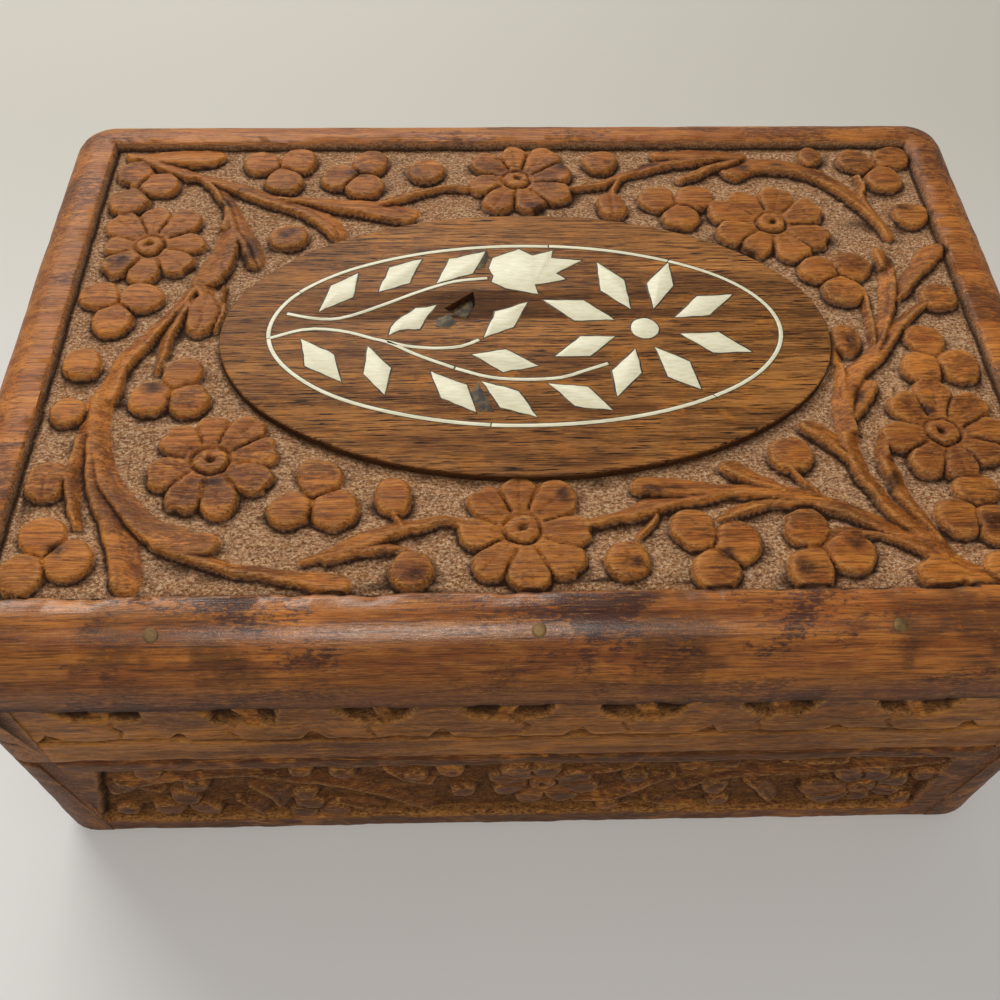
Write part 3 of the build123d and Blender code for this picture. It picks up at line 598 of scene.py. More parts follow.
# The inlay: corners of each piece, in millimetres from the middle of the lid
PETALS = [
    [(31.6, 6.9), (27.6, 2.6), (22.3, 2.1), (26.2, 6.5)],
    [(22.7, 13.9), (22.9, 8.8), (19.4, 4), (18.9, 9.3)],
    [(11.8, 14), (15.6, 10.1), (16, 3.9), (11.9, 7.9)], [(3.2, 6), (9.2, 5.8), (13.4, 1.8), (7.6, 1.6)],
    [(4.3, -5.4), (9.4, -5.4), (13.2, -1.6), (8.2, -1.5)],
    [(16, -4), (16.4, -8.6), (12.6, -13), (12.3, -8.2)],
    [(18.8, -3.7), (23.4, -6.6), (24.4, -11.9), (20, -9.4)],
    [(22.8, -1.2), (28.4, -0.9), (32.6, -4.8), (27, -4.9)],
]
LEAVES = [
    [(-24.4, 11.9), (-25, 6.8), (-29.8, 3.9), (-28.4, 9.2)],
    [(-15, 15), (-16.7, 9.8), (-21.3, 7.8), (-19.8, 13.2)],
    [(-5.2, 16.6), (-7.1, 11.7), (-12.6, 9.6), (-10.7, 14.9)],
    [(-12.8, 4.9), (-14.2, 2.2), (-14.9, 0.4), (-16.7, 0.3), (-19.5, -1.2), (-18.6, 1.8), (-17.3, 2.9),
     (-15.6, 4.3)],
    [(0.8, 5.5), (-1.3, 0.4), (-5.8, -1.7), (-3.9, 3.6)],
    [(-7.4, -4.9), (-2.7, -3.9), (1.9, -7.2), (-3.1, -8.3)],
    [(-32, -1.5), (-27, -4.7), (-25.7, -9.9), (-30.9, -6.8)],
    [(-22.3, -3.1), (-18.9, -7.3), (-19.5, -12.4), (-22.6, -8.4)],
    [(-13.3, -8), (-8.3, -10.7), (-6.9, -15.6), (-11.8, -13)],
    [(-6.1, -10), (-1, -11.8), (1.4, -16.6), (-3.6, -14.8)],
    [(3.2, -10.5), (8.6, -11.1), (11.8, -15.4), (6.6, -14.7)],
]
TULIP = [
    (-4.8, 12.9), (-4.2, 15), (0, 17.1), (1.1, 16.2), (1.9, 15.5), (5.1, 16.7), (4.8, 15), (9.4, 14.4),
    (5.4, 11.7), (6.8, 10.3), (2.1, 9.2), (2.5, 7.2), (-2.4, 8.5), (-4.4, 9.9), (-4.1, 11.2),
]
STEMS = [
    [(-34.4, 3.5), (-31, 2.6), (-28, 2.3), (-25, 3), (-20, 5.4), (-15, 8), (-10, 10), (-5, 10.7)],
    [(-36.4, -1.4), (-32, 0.2), (-28.5, 0.3), (-25, -0.4), (-21.5, -1.7), (-19.4, -2.4), (-15, -5),
     (-10, -7.4)],
    [(-9.8, -7.5), (-5, -9.2), (0, -9.7), (5, -9.4), (8, -8.3), (11.8, -6.8)],
    [(-19.6, -2.2), (-17, -3.1), (-13, -3.6), (-9, -3.3), (-6.4, -2)],
]
# The leaf with the most broken edge, counted from 0
CRUMBLED_LEAF = 3
# Where one strip of the oval line ends and the next begins, in degrees
RING_JOINTS = [53.0, 83.6, 153.6, 184.5, 261.7, 313.8, 413.0]
LOST_LEAF = [(-7.2, 8), (-6.9, 5), (-8, 2.2), (-9.8, 3), (-11.4, 4.4), (-9.2, 6.2)]
GLUE_SPOTS = [
    [(-12.4, 2.6), (-10.8, 3.4), (-9.6, 1.4), (-11, 0.2), (-13, 0.6)],
    [(-6.8, -10), (-5.4, -12.6), (-4.4, -15.4), (-6.4, -15.6), (-7.6, -13)],
    [(-7.2, 16.6), (-5, 16.9), (-4.8, 14.6), (-5.6, 12.8), (-6.6, 12.6)],
]
FLOWER_CENTRE, FLOWER_CENTRE_RADIUS = (17.7, 0), 2.05


def full_turn(count):
    """Even angles once round."""
    return np.linspace(0, 2 * math.pi, count + 1)[:-1]


def arc(turns, radius_x, radius_y):
    """Points of an ellipse at some angles."""
    return np.column_stack([radius_x * np.cos(turns), radius_y * np.sin(turns)])


def grown(outline, margin):
    """A closed outline moved outwards by a margin, corner by corner."""
    points = np.array(outline, float)
    area = np.cross(points, np.roll(points, -1, 0)).sum()
    points = points if area > 0 else points[::-1]
    ahead = np.roll(points, -1, 0) - points
    ahead /= np.hypot(*ahead.T)[:, None]
    normal = np.stack([ahead[:, 1], -ahead[:, 0]], -1)
    before = np.roll(normal, 1, 0)
    mean = normal + before
    mean /= np.maximum((mean * normal).sum(1), 0.45)[:, None]
    return points + mean * margin


def divided(outline, step, seed, rough):
    """A closed outline with more points, a little unevenly cut."""
    points = []
    for number, start in enumerate(outline):
        end = outline[(number + 1) % len(outline)]
        count = max(1, round(math.dist(start, end) / step))
        for part in range(count):
            share = part / count
            points.append([start[0] + share * (end[0] - start[0]), start[1] + share * (end[1] - start[1])])
    points = np.array(points)
    points[:, 0] += rough * uneven(points[:, 0], points[:, 1], 0.9, seed)
    points[:, 1] += rough * uneven(points[:, 0], points[:, 1], 0.9, seed + 1)
    return points


def stacked(levels):
    """Points and faces of outlines one above the other: the bottom, the top, then the sides."""
    count = len(levels[0][0])
    points = np.vstack([np.column_stack([outline, np.full(count, height)]) for outline, height in levels])
    last = len(points) - count
    faces = [list(range(count))[::-1], list(range(last, last + count))]
    for corner in range(last):
        following = corner - corner % count + (corner + 1) % count
        faces.append([corner, following, following + count, corner + count])
    return points, faces


def slab(name, outline, top, bottom, bevel):
    """A flat piece with slightly rounded upper edges."""
    edges = ((0, bottom), (0, top - bevel), (-0.4 * bevel, top - 0.3 * bevel), (-bevel, top))
    return mesh_piece(name, *stacked([(grown(outline, margin), height) for margin, height in edges]), 35)


def ribbon_outline(points, width):
    """The outline of a strip of one width along a smooth curve."""
    line = curve_through(points, [width] * len(points))[:, :2]
    ahead = np.gradient(line, axis=0)
    ahead /= np.hypot(*ahead.T)[:, None]
    across = np.stack([-ahead[:, 1], ahead[:, 0]], -1) * width / 2
    return np.vstack([line + across, (line - across)[::-1]])


def ring_outline(start, end, seed):
    """The outline of one bent strip of the oval line, from one joint to the next."""
    gap = 0.1
    angles = np.radians(np.linspace(start + gap, end - gap, max(6, int((end - start) / 3))))
    wander = 0.08 * uneven(angles * 20, 0 * angles, 6.0, seed)
    outline = []
    for side, way, shift in ((0.5, angles, wander), (-0.5, angles[::-1], wander[::-1])):
        shift = side * RING_WIDTH + shift
        outline.append(arc(way, RING_X + shift, RING_Y + shift) + RING_CENTRE)
    return np.vstack(outline)


def make_inlay():
    """Every inlaid piece, named with the CAD node that it stands for, and the outlines of all."""
    outlines = {}
    for number, corners in enumerate(PETALS):
        outlines[f"inlay_petal_{number + 1}"] = divided(corners, 1.2, 50 + number, 0.10)
    for number, corners in enumerate(LEAVES):
        rough = 0.3 if number == CRUMBLED_LEAF else 0.13
        outlines[f"inlay_leaf_{number + 1}"] = divided(corners, 1.2, 70 + number, rough)
    outlines["inlay_tulip"] = divided(TULIP, 1.0, 90, 0.10)
    for number, points in enumerate(STEMS):
        outlines[f"inlay_stem_{number + 1}"] = ribbon_outline(points, STEM_WIDTH)
    for number, (start, end) in enumerate(zip(RING_JOINTS, RING_JOINTS[1:])):
        outlines[f"inlay_border_{number + 1}"] = ring_outline(start, end, 95 + number)
    circle = arc(full_turn(24), FLOWER_CENTRE_RADIUS, FLOWER_CENTRE_RADIUS) + FLOWER_CENTRE
    outlines["inlay_flower_centre"] = divided(circle.tolist(), 2.0, 97, 0.06)
    pieces = {}
    for node, outline in outlines.items():
        bevel = 0.05 if "stem" in node or "border" in node else 0.07
        pieces[node] = slab(f"{node}_shown", outline, INLAY_TOP, INLAY_BOTTOM, bevel)
    return pieces, outlines


def make_glue(outlines):
    """The dark glue that shows round each inlaid piece, and the olive glue left beside some."""
    parts = []
    for number, (node, outline) in enumerate(outlines.items()):
        fine = "stem" in node or "border" in node
        wide = grown(outline, 0.13 if fine else 0.2)
        if not fine:
            wide = wide + 0.09 * uneven(wide[:, :1] + number, wide[:, 1:], 1.3, 98)
        parts.append(slab(f"glue_{number}", wide, OVAL_TOP + 0.012, GLUE_BOTTOM, 0.005))
    for number, corners in enumerate(GLUE_SPOTS):
        spot = divided(corners, 0.7, 110 + number, 0.35)
        parts.append(slab(f"glue_spot_{number}", spot, OVAL_TOP + 0.01, GLUE_BOTTOM, 0.005))
    left = divided((np.array(LOST_LEAF) * 0.8 + 0.2 * np.mean(LOST_LEAF, axis=0)).tolist(), 0.6, 120, 0.3)
    parts.append(slab("glue_in_pocket", left, OVAL_TOP - 0.85, OVAL_TOP - 1.3, 0.1))
    return join(parts, "inlay_glue")


def join(parts, name):
    """Several mesh objects as one."""
    bpy.ops.object.select_all(action="DESELECT")
    for part in parts:
        part.select_set(True)
    bpy.context.view_layer.objects.active = parts[0]
    bpy.ops.object.join()
    parts[0].name = name
    parts[0].data.name = name
    return parts[0]


def make_oval():
    """The raised oval with the empty pocket of the lost leaf cut into its top."""
    turns = full_turn(240)
    wobble = 1 + 0.004 * uneven(np.cos(turns) * 9 + 9, np.sin(turns) * 9 + 9, 3.0, 8)
    outline = arc(turns, OVAL_X, OVAL_Y) * wobble[:, None] + OVAL_CENTRE
    points, (under, _, *sides) = stacked([
        (outline, LID_TOP - FIELD_DEPTH - 0.6), (grown(outline, -0.05), OVAL_TOP - 0.5),
        (grown(outline, -0.14), OVAL_TOP - 0.14), (grown(outline, -0.36), OVAL_TOP),
    ])
    rim = divided(LOST_LEAF, 0.8, 9, 0.12)[::-1]
    foot = 0.9 * rim + 0.1 * rim.mean(0)
    pocket, (_, floor, *walls) = stacked([(rim, OVAL_TOP), (foot, OVAL_TOP - POCKET_DEPTH)])
    count, base, size = len(outline), len(points), len(rim)
    points = np.vstack([points, pocket])
    faces = [under, *sides] + [[base + corner for corner in face] for face in (*walls, floor)]
    borders = list(range(base - count, base)), list(range(base, base + size))
    triangles = tessellate_polygon([[Vector(points[corner]) for corner in border] for border in borders])
    ids = borders[0] + borders[1]
    faces += [[ids[corner] for corner in triangle] for triangle in triangles]
    # Painted shade and dirt: the oval's wall is darker towards its foot, and the pocket's walls and floor
    # are darkened
    shade_and_dirt = np.repeat([1.0, 0.9, 0.35, 0.0, 0.7, 1.0], [count] * 4 + [size] * 2)
    values = np.zeros((len(points), len(SURFACE_VALUES)))
    values[:, SURFACE_VALUES.index("shade_and_dirt")] = shade_and_dirt
    return mesh_piece("lid_oval", points, faces, 40, values)


# The walls of the base and the rails of the lid
FOOT_RADIUS = 2.7
FOOT_STEPS = (2.7, 1.8, 1.1, 0.5, 0.15, 0.0)
LIP_RADIUS = 1.3
RAIL_EDGE = 0.5
WALL_DEPTH = 1.5
RAIL_DEPTH = 2.0
FRONT_STEP = 0.36
SIDE_STEP = 0.5
WALL_CORNER = 6.0
INNER_EDGE = 0.4
PANEL_TOP, PANEL_BOTTOM = 27.2, 6.4
PANEL_SLANT = 0.21
FRONT_MARGIN, SIDE_MARGIN = 4.5, 8
GROOVE_LINE = 37.8
NOTCH_PITCH = 17.8
NOTCH_SHIFT = 6.1
NOTCH_HALF, NOTCH_HEIGHT = 3.0, 2.9
# The leaf and the crack in each hollow of a rail: how far aside and how high, and the leaf's widths
BAY_LEAF = [(1.6, 49.4), (0.4, 46.2), (-0.8, 43.2), (-1.3, 41.4)]
BAY_LEAF_WIDTHS = [1.4, 2.2, 1.8, 0.7]
BAY_CRACK = [(1.6, 44.6), (0.9, 42.6), (1.9, 40.8), (1.2, 38.8)]

# Where the hinges lie in the back wall: heights are for the base, and the lid's are mirrored
HINGE_X = (-48.0, 48.0)
SPLIT = (BASE_TOP + RAIL_BOTTOM) / 2
BED_HALF = 8.15
BED_LINE = [(0.0, 29.35), (2.03, 29.35), (2.03, 29.9), (7.95, 29.9), (7.95, 30.9), (8.5, 30.9)]
STOP_LINE = [(0.0, 29.94), (0.73, 30.9), (0.8, 30.9), (7.95, 30.9), (7.96, 30.9), (8.5, 30.9)]

# The front's carving: x to the right, z up
FRONT_VINE = [
    ([(-62, 18), (-57, 21.5), (-52, 23.3), (-45, 24.4), (-38, 23.4), (-33, 21.4), (-30, 20), (-25, 17.8),
     (-20, 14), (-15, 8.6)], [2, 2.2, 2.2, 2, 2.2, 2.4, 2.2, 2.4, 2.4, 2], 0),
    ([(8, 12), (12, 12.4), (15, 14), (19, 18.4), (22, 20.8)], [2, 2.6, 3, 2.4, 1.6], 0),
    ([(24, 15.4), (27, 18.9), (35, 21.6), (45, 22), (55, 24), (61, 25)], [1.6, 2.2, 2.4, 2, 2.2, 2], 0),
    ([(-60.4, 22), (-57, 20.8), (-54.6, 18)], [1.6, 2.6, 1.4], 0.2),
    ([(9, 22.8), (12, 24.2), (15, 25.4)], [2, 3, 2], 0.2),
    ([(23.4, 24.4), (27, 25), (31, 24.2)], [2, 2.8, 1.6], 0.2),
    ([(-41, 19.4), (-38.4, 15.4), (-38, 11)], [1.6, 2.8, 2], 0.2),
    ([(-44, 13.6), (-42, 11.6), (-41, 8.6)], [1.4, 2.8, 2], 0.15),
    ([(-29, 12.6), (-25.6, 10.6), (-22.6, 8.4)], [1.4, 3, 1.6], 0.2),
    ([(19, 11), (22.6, 9.4), (26, 8.6)], [1.6, 2.8, 1.6], 0.2),
    ([(34, 17.4), (37.4, 14), (39.6, 9.6)], [1.4, 2.8, 2], 0.2),
    ([(-20.6, 24.8), (-18, 21.6), (-14.4, 19.8)], [1.4, 2.4, 1.6], 0.1),
    ([(37.6, 25.6), (42, 25.2), (46.8, 25.4)], [1, 1.8, 1.4], 0),
]
FRONT_BUDS = [
    (-55, 25.4, 2, 1.9), (-49.4, 20.2, 2, 2), (-33.6, 16.4, 2, 1.9), (-33, 25.1, 1.9, 1.7),
    (-27, 24.4, 2, 1.9), (16.4, 20.6, 2, 2), (29.4, 15.6, 2, 2), (30.6, 10, 2, 1.9), (-16.6, 22.4, 2, 1.9),
    (-11.4, 24.4, 2.1, 1.9), (-9.6, 16, 1.9, 1.9), (13, 8.6, 1.9, 1.8), (60, 9.4, 1.8, 1.9),
    (-62, 10, 1.8, 1.9), (60.6, 19.4, 1.7, 2),
]
FRONT_TREFOILS = [
    ((-52, 14.6), (-55.5, 10.4), (-49.6, 10.4)), ((-33.6, 11.4), (-29.8, 8.4), (-35, 8)),
]
FRONT_FLOWERS = [
    (2.3, 18.5, [(3, 24.2), (-1.5, 23.6), (7.8, 21), (8.6, 17), (6, 13.6), (0.6, 13), (-3, 16),
     (-3.6, 20.6)]),
    (52, 15, [(49, 20), (53, 20.4), (57, 17.4), (57, 12.4), (52.4, 10.4), (47, 10.8), (45, 15)]),
]
# The vine that waves along the sides and the back, and the leaves beside each trefoil, from its bend
VINE_PITCH, VINE_RISE = 96.0, 6.6
SIDE_BLADES = [
    ([(15.4, 1.4), (13, -0.6)], [1.6, 2.2], 0), ([(4, -8), (9, -7.6), (14.6, -5.4)], [1.2, 3, 1.8], 0.2),
    ([(16, -8.6), (20, -8)], [2.4, 1.4], 0),
]


def carve_panel(carving, half_length, front):
    """A base wall's carving: a sunk panel with the vine and its flowers standing in it."""
    x, z = carving.x, carving.y
    ragged = 0.25 * uneven(x, z, 6.0, carving.seed + 5) + 0.12 * uneven(x, z, 1.4, carving.seed + 6)
    slant = PANEL_SLANT * (27 - z) if front else 0
    outside = np.max([z - PANEL_TOP, PANEL_BOTTOM - z, -x - half_length - slant, x - half_length], axis=0)
    wall = smooth((outside + ragged) / 0.8 + 0.5)
    carving.height = wall * carving.depth
    carving.raised = wall.copy()
    if front:
        carve_motifs(carving, FRONT_VINE, FRONT_BUDS, FRONT_TREFOILS, FRONT_FLOWERS, WALL_LOBE, 60)
    else:
        carve_repeat(carving, half_length)
    carving.finish()


def carve_repeat(carving, half_length):
    """The vine along a side or the back: it waves, with flowers in its bends and trefoils beside them."""
    middle = (PANEL_TOP + PANEL_BOTTOM) / 2
    along = np.linspace(-half_length, half_length, int(half_length / 3))
    wave = [(x, middle - VINE_RISE * math.cos(2 * math.pi * x / VINE_PITCH)) for x in along]
    carve_blade(carving, wave, [2.2 + 0.4 * math.sin(x) for x in along])
    bends = math.ceil(2 * half_length / VINE_PITCH) + 1
    for bend in range(-bends, bends + 1):
        bend_x, up = bend * VINE_PITCH / 2, 1 if bend % 2 == 0 else -1
        if abs(bend_x) < half_length - 5:
            z = middle + up * 3.0
            carve_flower(carving, bend_x, z, petals_round(bend_x, z, 5.2, 0.3 + bend), 80 + bend)
        for side in (-1, 1):
            if abs(bend_x + side * 19) > half_length - 1:
                continue
            x = bend_x + side * 16.4
            lobes = [(x + shift, middle + up * rise) for shift, rise in ((0, 7.4), (-2.9, 3), (2.9, 3))]
            carve_trefoil(carving, lobes, WALL_LOBE)
            carve_bud(carving, bend_x + side * 9.6, middle + up * 7.3, 2, 1.9)
            for places, widths, vein in SIDE_BLADES:
                places = [(bend_x + side * out, middle + up * rise) for out, rise in places]
                carve_blade(carving, places, widths, vein)


def carve_rail(carving, half_length):
    """A lid rail's carving: hollows under the board, tongues between them and a row of notches below."""
    x, z = carving.x, carving.y
    carving.height = np.full_like(x, carving.depth)
    carving.raised = np.ones_like(x)
    wave = 0.3 * uneven(x, 0 * x, 9.0, carving.seed) + 0.12 * uneven(x, z, 1.5, carving.seed + 1)
    first = math.floor((-half_length - NOTCH_SHIFT) / NOTCH_PITCH)
    last = math.ceil((half_length - NOTCH_SHIFT) / NOTCH_PITCH)
    for number in range(first, last + 1):
        random = np.random.default_rng(carving.seed + 40 + number)
        notch = NOTCH_SHIFT + number * NOTCH_PITCH + random.normal(0, 0.3)
        away = np.abs(x - notch)
        share = np.clip(1 - away / NOTCH_HALF, 0, 1)
        roof = GROOVE_LINE - 0.3 + NOTCH_HEIGHT * share**1.7
        inside = np.where(away < NOTCH_HALF, np.minimum(roof - z, z - GROOVE_LINE + 0.35 + wave), -1)
        slope = np.clip((z - GROOVE_LINE) / NOTCH_HEIGHT, 0, 1)
        carving.height -= 1.5 * smooth(inside / 0.5) * (0.35 + 0.65 * slope)
        bay = notch + NOTCH_PITCH / 2 + random.normal(0, 0.4)
        half = random.uniform(6.0, 7.4)
        foot = random.uniform(42.2, 43.6)
        ragged = 0.55 * uneven(x, z, 2.4, carving.seed + 60 + number)
        ragged = ragged + 0.35 * uneven(x, z, 0.9, carving.seed + 80)
        side = half - np.abs(x - bay) - 0.42 * (BOARD_BOTTOM - z)
        inside = np.minimum(z - foot - 0.06 * (x - bay) ** 2, side) + ragged
        pocket = smooth(inside / 0.6)
        carving.height -= carving.depth * pocket * (0.4 + 0.5 * np.clip((z - foot) / 4, 0, 1))
        carving.raised -= pocket
        lean = random.choice((-1, 1)) * random.uniform(0.9, 1.4)
        leaf, crack = ([(bay + out * lean, up) for out, up in line] for line in (BAY_LEAF, BAY_CRACK))
        carve_blade(carving, leaf, BAY_LEAF_WIDTHS, vein=0.2, crown=0.66)
        score(carving, crack, 0.3, 0.25)
    groove = z - GROOVE_LINE + wave
    carving.height -= 0.55 * ridge(groove, 0.3)
    carving.height -= 0.12 * (1 + uneven(x, z, 3.0, carving.seed + 3)) * smooth((z - GROOVE_LINE) / 2)
    carving.finish()
    # Painted shade and dirt along the groove
    carving.add_shade_and_dirt(0.85 * ridge(groove, 0.32))
    # Painted shade in the pockets, darkest up under the board's overhang
    carving.add_shade_and_dirt((0.42 + 0.58 * smooth((z - 43.2) / 2.2)) * (1 - carving.raised))


def score(carving, points, width, share):
    """A thin line cut into the wood."""
    line = curve_through(points, [width] * len(points))
    where, x, y = carving.beside(line, 2)
    near = np.full(x.shape, 9.0)
    for start, end in zip(line, line[1:]):
        dx, dy = (end - start)[:2]
        t = np.clip(((x - start[0]) * dx + (y - start[1]) * dy) / (dx**2 + dy**2), 0, 1)
        near = np.minimum(near, np.hypot(x - start[0] - t * dx, y - start[1] - t * dy))
    cut = share * ridge(near, width) * carving.depth
    carving.height[where] = np.clip(carving.height[where] - cut, 0, None)


def face_grid(half_length, low, high, step, depth, seed, extra=(), dense_ends=False):
    """An empty carving for one face, with double lines where the section changes."""
    count = int(2 * half_length / step)
    if dense_ends:
        inner = half_length - WALL_CORNER
        turn = np.linspace(0, math.pi / 2, 9)[1:]
        corner = inner + WALL_CORNER * np.sin(turn)
        xs = np.concatenate([-corner[::-1], np.linspace(-inner, inner, count), corner])
    else:
        xs = np.linspace(-half_length, half_length, count)
    xs = np.sort(np.concatenate([xs, np.repeat(np.array(extra, float), 2)]))
    rows = max(8, int((high - low) / step))
    return Carving(xs, np.linspace(low, high, rows), depth, seed)


def loft(name, carving, ease, rest, side):
    """A board lofted along its length: each section is its carved face and then the rest of it."""
    rows, last, surface = carving.ys, len(carving.xs) - 1, carving.surface()
    points, values = [], []
    for column, station in enumerate(carving.xs):
        others = rest(column)
        z = np.concatenate([rows, others[:, 1]])
        carved = carving.depth - carving.height[:, column]
        inwards = np.concatenate([carved + ease(rows), others[:, 0]])
        along = np.full(len(z), station)
        past = abs(station) - (WALL_Y - WALL_CORNER)
        if side in ("left", "right") and past > 0:
            turn = math.asin(min(1, past / WALL_CORNER))
            radius = WALL_CORNER - ease(z)
            radius[:len(rows)] -= carved * math.cos(turn)
            along = math.copysign(1, station) * (WALL_Y - WALL_CORNER + radius * math.sin(turn))
            inwards[:len(rows)] = WALL_CORNER - radius[:len(rows)] * math.cos(turn)
        points.append(place_on(side, along, inwards, z))
        values += [surface[:, column], np.tile([0, 0, 0, 0, 0 < column < last, 0], (len(others), 1))]
    size = len(points[0])
    ids = np.arange(size * len(points)).reshape(-1, size)
    outer = np.zeros((last, size - 1), bool)
    outer[:, :len(rows) - 1] = True
    faces = split_cells(ids, np.pad(carving.height.T, ((0, 0), (0, size - len(rows)))), outer)
    for cells in (ids[:, len(rows) - 1:], ids[:, [-1, 0]]):
        faces += np.stack(cell_corners(cells), -1).reshape(-1, 4).tolist()
    for section in (0, -1):
        lines = list(range(len(rows))), list(range(size - 1, len(rows) - 1, -1))
        faces += zipped(*lines, points[section][:, 2], ids[section])
    return mesh_piece(name, np.vstack(points), faces, 55, np.vstack(values))


def zipped(one, other, heights, ids):
    """Triangles between two lines of points that both run upwards."""
    faces, i, j = [], 0, 0
    while i < len(one) - 1 or j < len(other) - 1:
        climb_one = j == len(other) - 1 or (
            i < len(one) - 1 and heights[one[i + 1]] <= heights[other[j + 1]]
        )
        third = one[i + 1] if climb_one else other[j + 1]
        faces.append([int(ids[one[i]]), int(ids[third]), int(ids[other[j]])])
        i, j = (i + 1, j) if climb_one else (i, j + 1)
    return faces


def place_on(side, along, inwards, z):
    """A section's points, from their distance along the board and inwards, where that side stands."""
    way = 1 if side in ("front", "left") else -1
    if side in ("left", "right"):
        return np.column_stack([way * (inwards - WALL_X), -way * along, z])
    return np.column_stack([way * along, way * (inwards - WALL_Y), z])


def board_plan(side):
    """Whether a board runs from front to back, half its length, its step and where its section changes."""
    ends = side in ("left", "right")
    beds = [x + way * BED_HALF for x in HINGE_X for way in (-1, 1)] if side == "back" else ()
    return ends, WALL_Y if ends else JOINT_X, FRONT_STEP if side == "front" else SIDE_STEP, beds


def quarter_round(reach, radius):
    """How far a rounded edge lies in, by how far it is past the start of its curve."""
    return radius - np.sqrt(radius**2 - np.clip(reach, 0, radius) ** 2)


def make_base_wall(side):
    """One wall of the base with its carved face, its foot and its rebate for the bottom panel."""
    ends, half, step, extra = board_plan(side)
    rebate_half, rebate_top = PANEL_HIGH[1] + 0.1, PANEL_HIGH[2]
    if ends:
        extra = (-rebate_half, rebate_half)
    top = BED_LINE[0][1] if side == "back" else BASE_TOP
    carving = face_grid(half, 0, top, step, WALL_DEPTH, 200 + len(side), extra, ends)
    carve_panel(carving, half - (SIDE_MARGIN if ends else FRONT_MARGIN), side == "front")
    in_bed = changed_columns(carving.xs, HINGE_X, BED_HALF)
    in_rebate = changed_columns(carving.xs, (0,), rebate_half)

    def ease(z):
        foot = quarter_round(FOOT_RADIUS - z, FOOT_RADIUS)
        return foot if side == "back" else foot + quarter_round(z - BASE_TOP + LIP_RADIUS, LIP_RADIUS)

    def rest(column):
        above = [(WALL_THICKNESS - INNER_EDGE, BASE_TOP), (WALL_THICKNESS, BASE_TOP - INNER_EDGE)]
        if side == "back":
            above = BED_LINE if in_bed[column] else STOP_LINE
        foot, drop = (WALL_THICKNESS, 0.01) if ends and not in_rebate[column] else (WALL_Y - rebate_half, 0)
        below = [(WALL_THICKNESS, rebate_top), (foot, rebate_top - drop)]
        return np.array(above + below + [(foot, z) for z in FOOT_STEPS])

    wall = loft(f"base_{side}_wall_shown", carving, ease, rest, side)
    return bevel_back(wall, BASE_TOP, 1) if ends else wall


def bevel_back(piece, edge, way):
    """Bevels a side board's back end like the back board's, so that the lid can lean back."""
    reach, rise = STOP_LINE[1][0] + 0.03, STOP_LINE[1][1] - STOP_LINE[0][1]
    for vertex in piece.data.vertices:
        past = vertex.co.y / MM - WALL_Y + reach
        if past > 0:
            limit = edge - way * past * rise / reach
            vertex.co.z = MM * way * min(way * vertex.co.z / MM, way * limit)
    return piece


def changed_columns(stations, centres, half):
    """For each section, whether it lies within half of a centre: of two in one place, one does."""
    result = []
    for number, station in enumerate(stations):
        inside = False
        for off in [station - centre for centre in centres]:
            if abs(off) < half - 0.001:
                inside = True
            elif abs(abs(off) - half) <= 0.001:
                twin_before = number > 0 and abs(stations[number - 1] - station) < 0.0001
                inside = twin_before if off < 0 else not twin_before
        result.append(inside)
    return result


def make_rail(side):
    """One rail of the lid's frame with its carved face."""
    ends, half, step, extra = board_plan(side)
    mirror = 2 * SPLIT
    bottom = mirror - BED_LINE[0][1] if side == "back" else RAIL_BOTTOM
    carving = face_grid(half, bottom, BOARD_BOTTOM, step, RAIL_DEPTH, 300 + len(side), extra, ends)
    carve_rail(carving, half)
    in_bed = changed_columns(carving.xs, HINGE_X, BED_HALF)

    def ease(z):
        return 0 * z if side == "back" else quarter_round(RAIL_BOTTOM + RAIL_EDGE - z, RAIL_EDGE)

    def rest(column):
        below = [(WALL_THICKNESS, RAIL_BOTTOM + INNER_EDGE), (WALL_THICKNESS - INNER_EDGE, RAIL_BOTTOM)]
        if side == "back":
            line = BED_LINE if in_bed[column] else STOP_LINE
            below = [(inwards, mirror - height) for inwards, height in line[::-1]]
        return np.array([(WALL_THICKNESS, BOARD_BOTTOM), *below])

    rail = loft(f"lid_{side}_rail_shown", carving, ease, rest, side)
    return bevel_back(rail, RAIL_BOTTOM, -1) if ends else rail


# Screws and brads: places, radii and the half width of a screw's slot
SCREW_SPREAD, SCREW_Y = 4.5, 46.875
HEAD_RADIUS, SLOT_HALF = 1.38, 0.16
SCREW_PROFILE = [(0.05, -6), (0.62, -5), (0.7, -1.2), (1.36, -0.42), (1.4, -0.36)]
NAILS_X, NAIL_Y, NAIL_TILT = (-45.6, 0.2, 43.5), -48.8, math.radians(27)
NAIL_DOME = [(0.86, -0.5), (0.9, -0.02), (0.82, 0.06), (0.5, 0.1), (0.06, 0.11)]
NAIL_SHANK = [(0.1, -20), (0.55, -18.6), (0.6, -0.3), (0.5, -0.25)]


def lathe(name, profile, place, tilt=0.0):
    """A turned part from radius and height pairs, set in place and tilted towards the front."""
    points, faces = stacked([(arc(full_turn(32), radius, radius), height) for radius, height in profile])
    turn = np.array(Matrix.Rotation(tilt, 3, "X"))
    return mesh_piece(name, points @ turn.T + np.array(place), faces, 40)


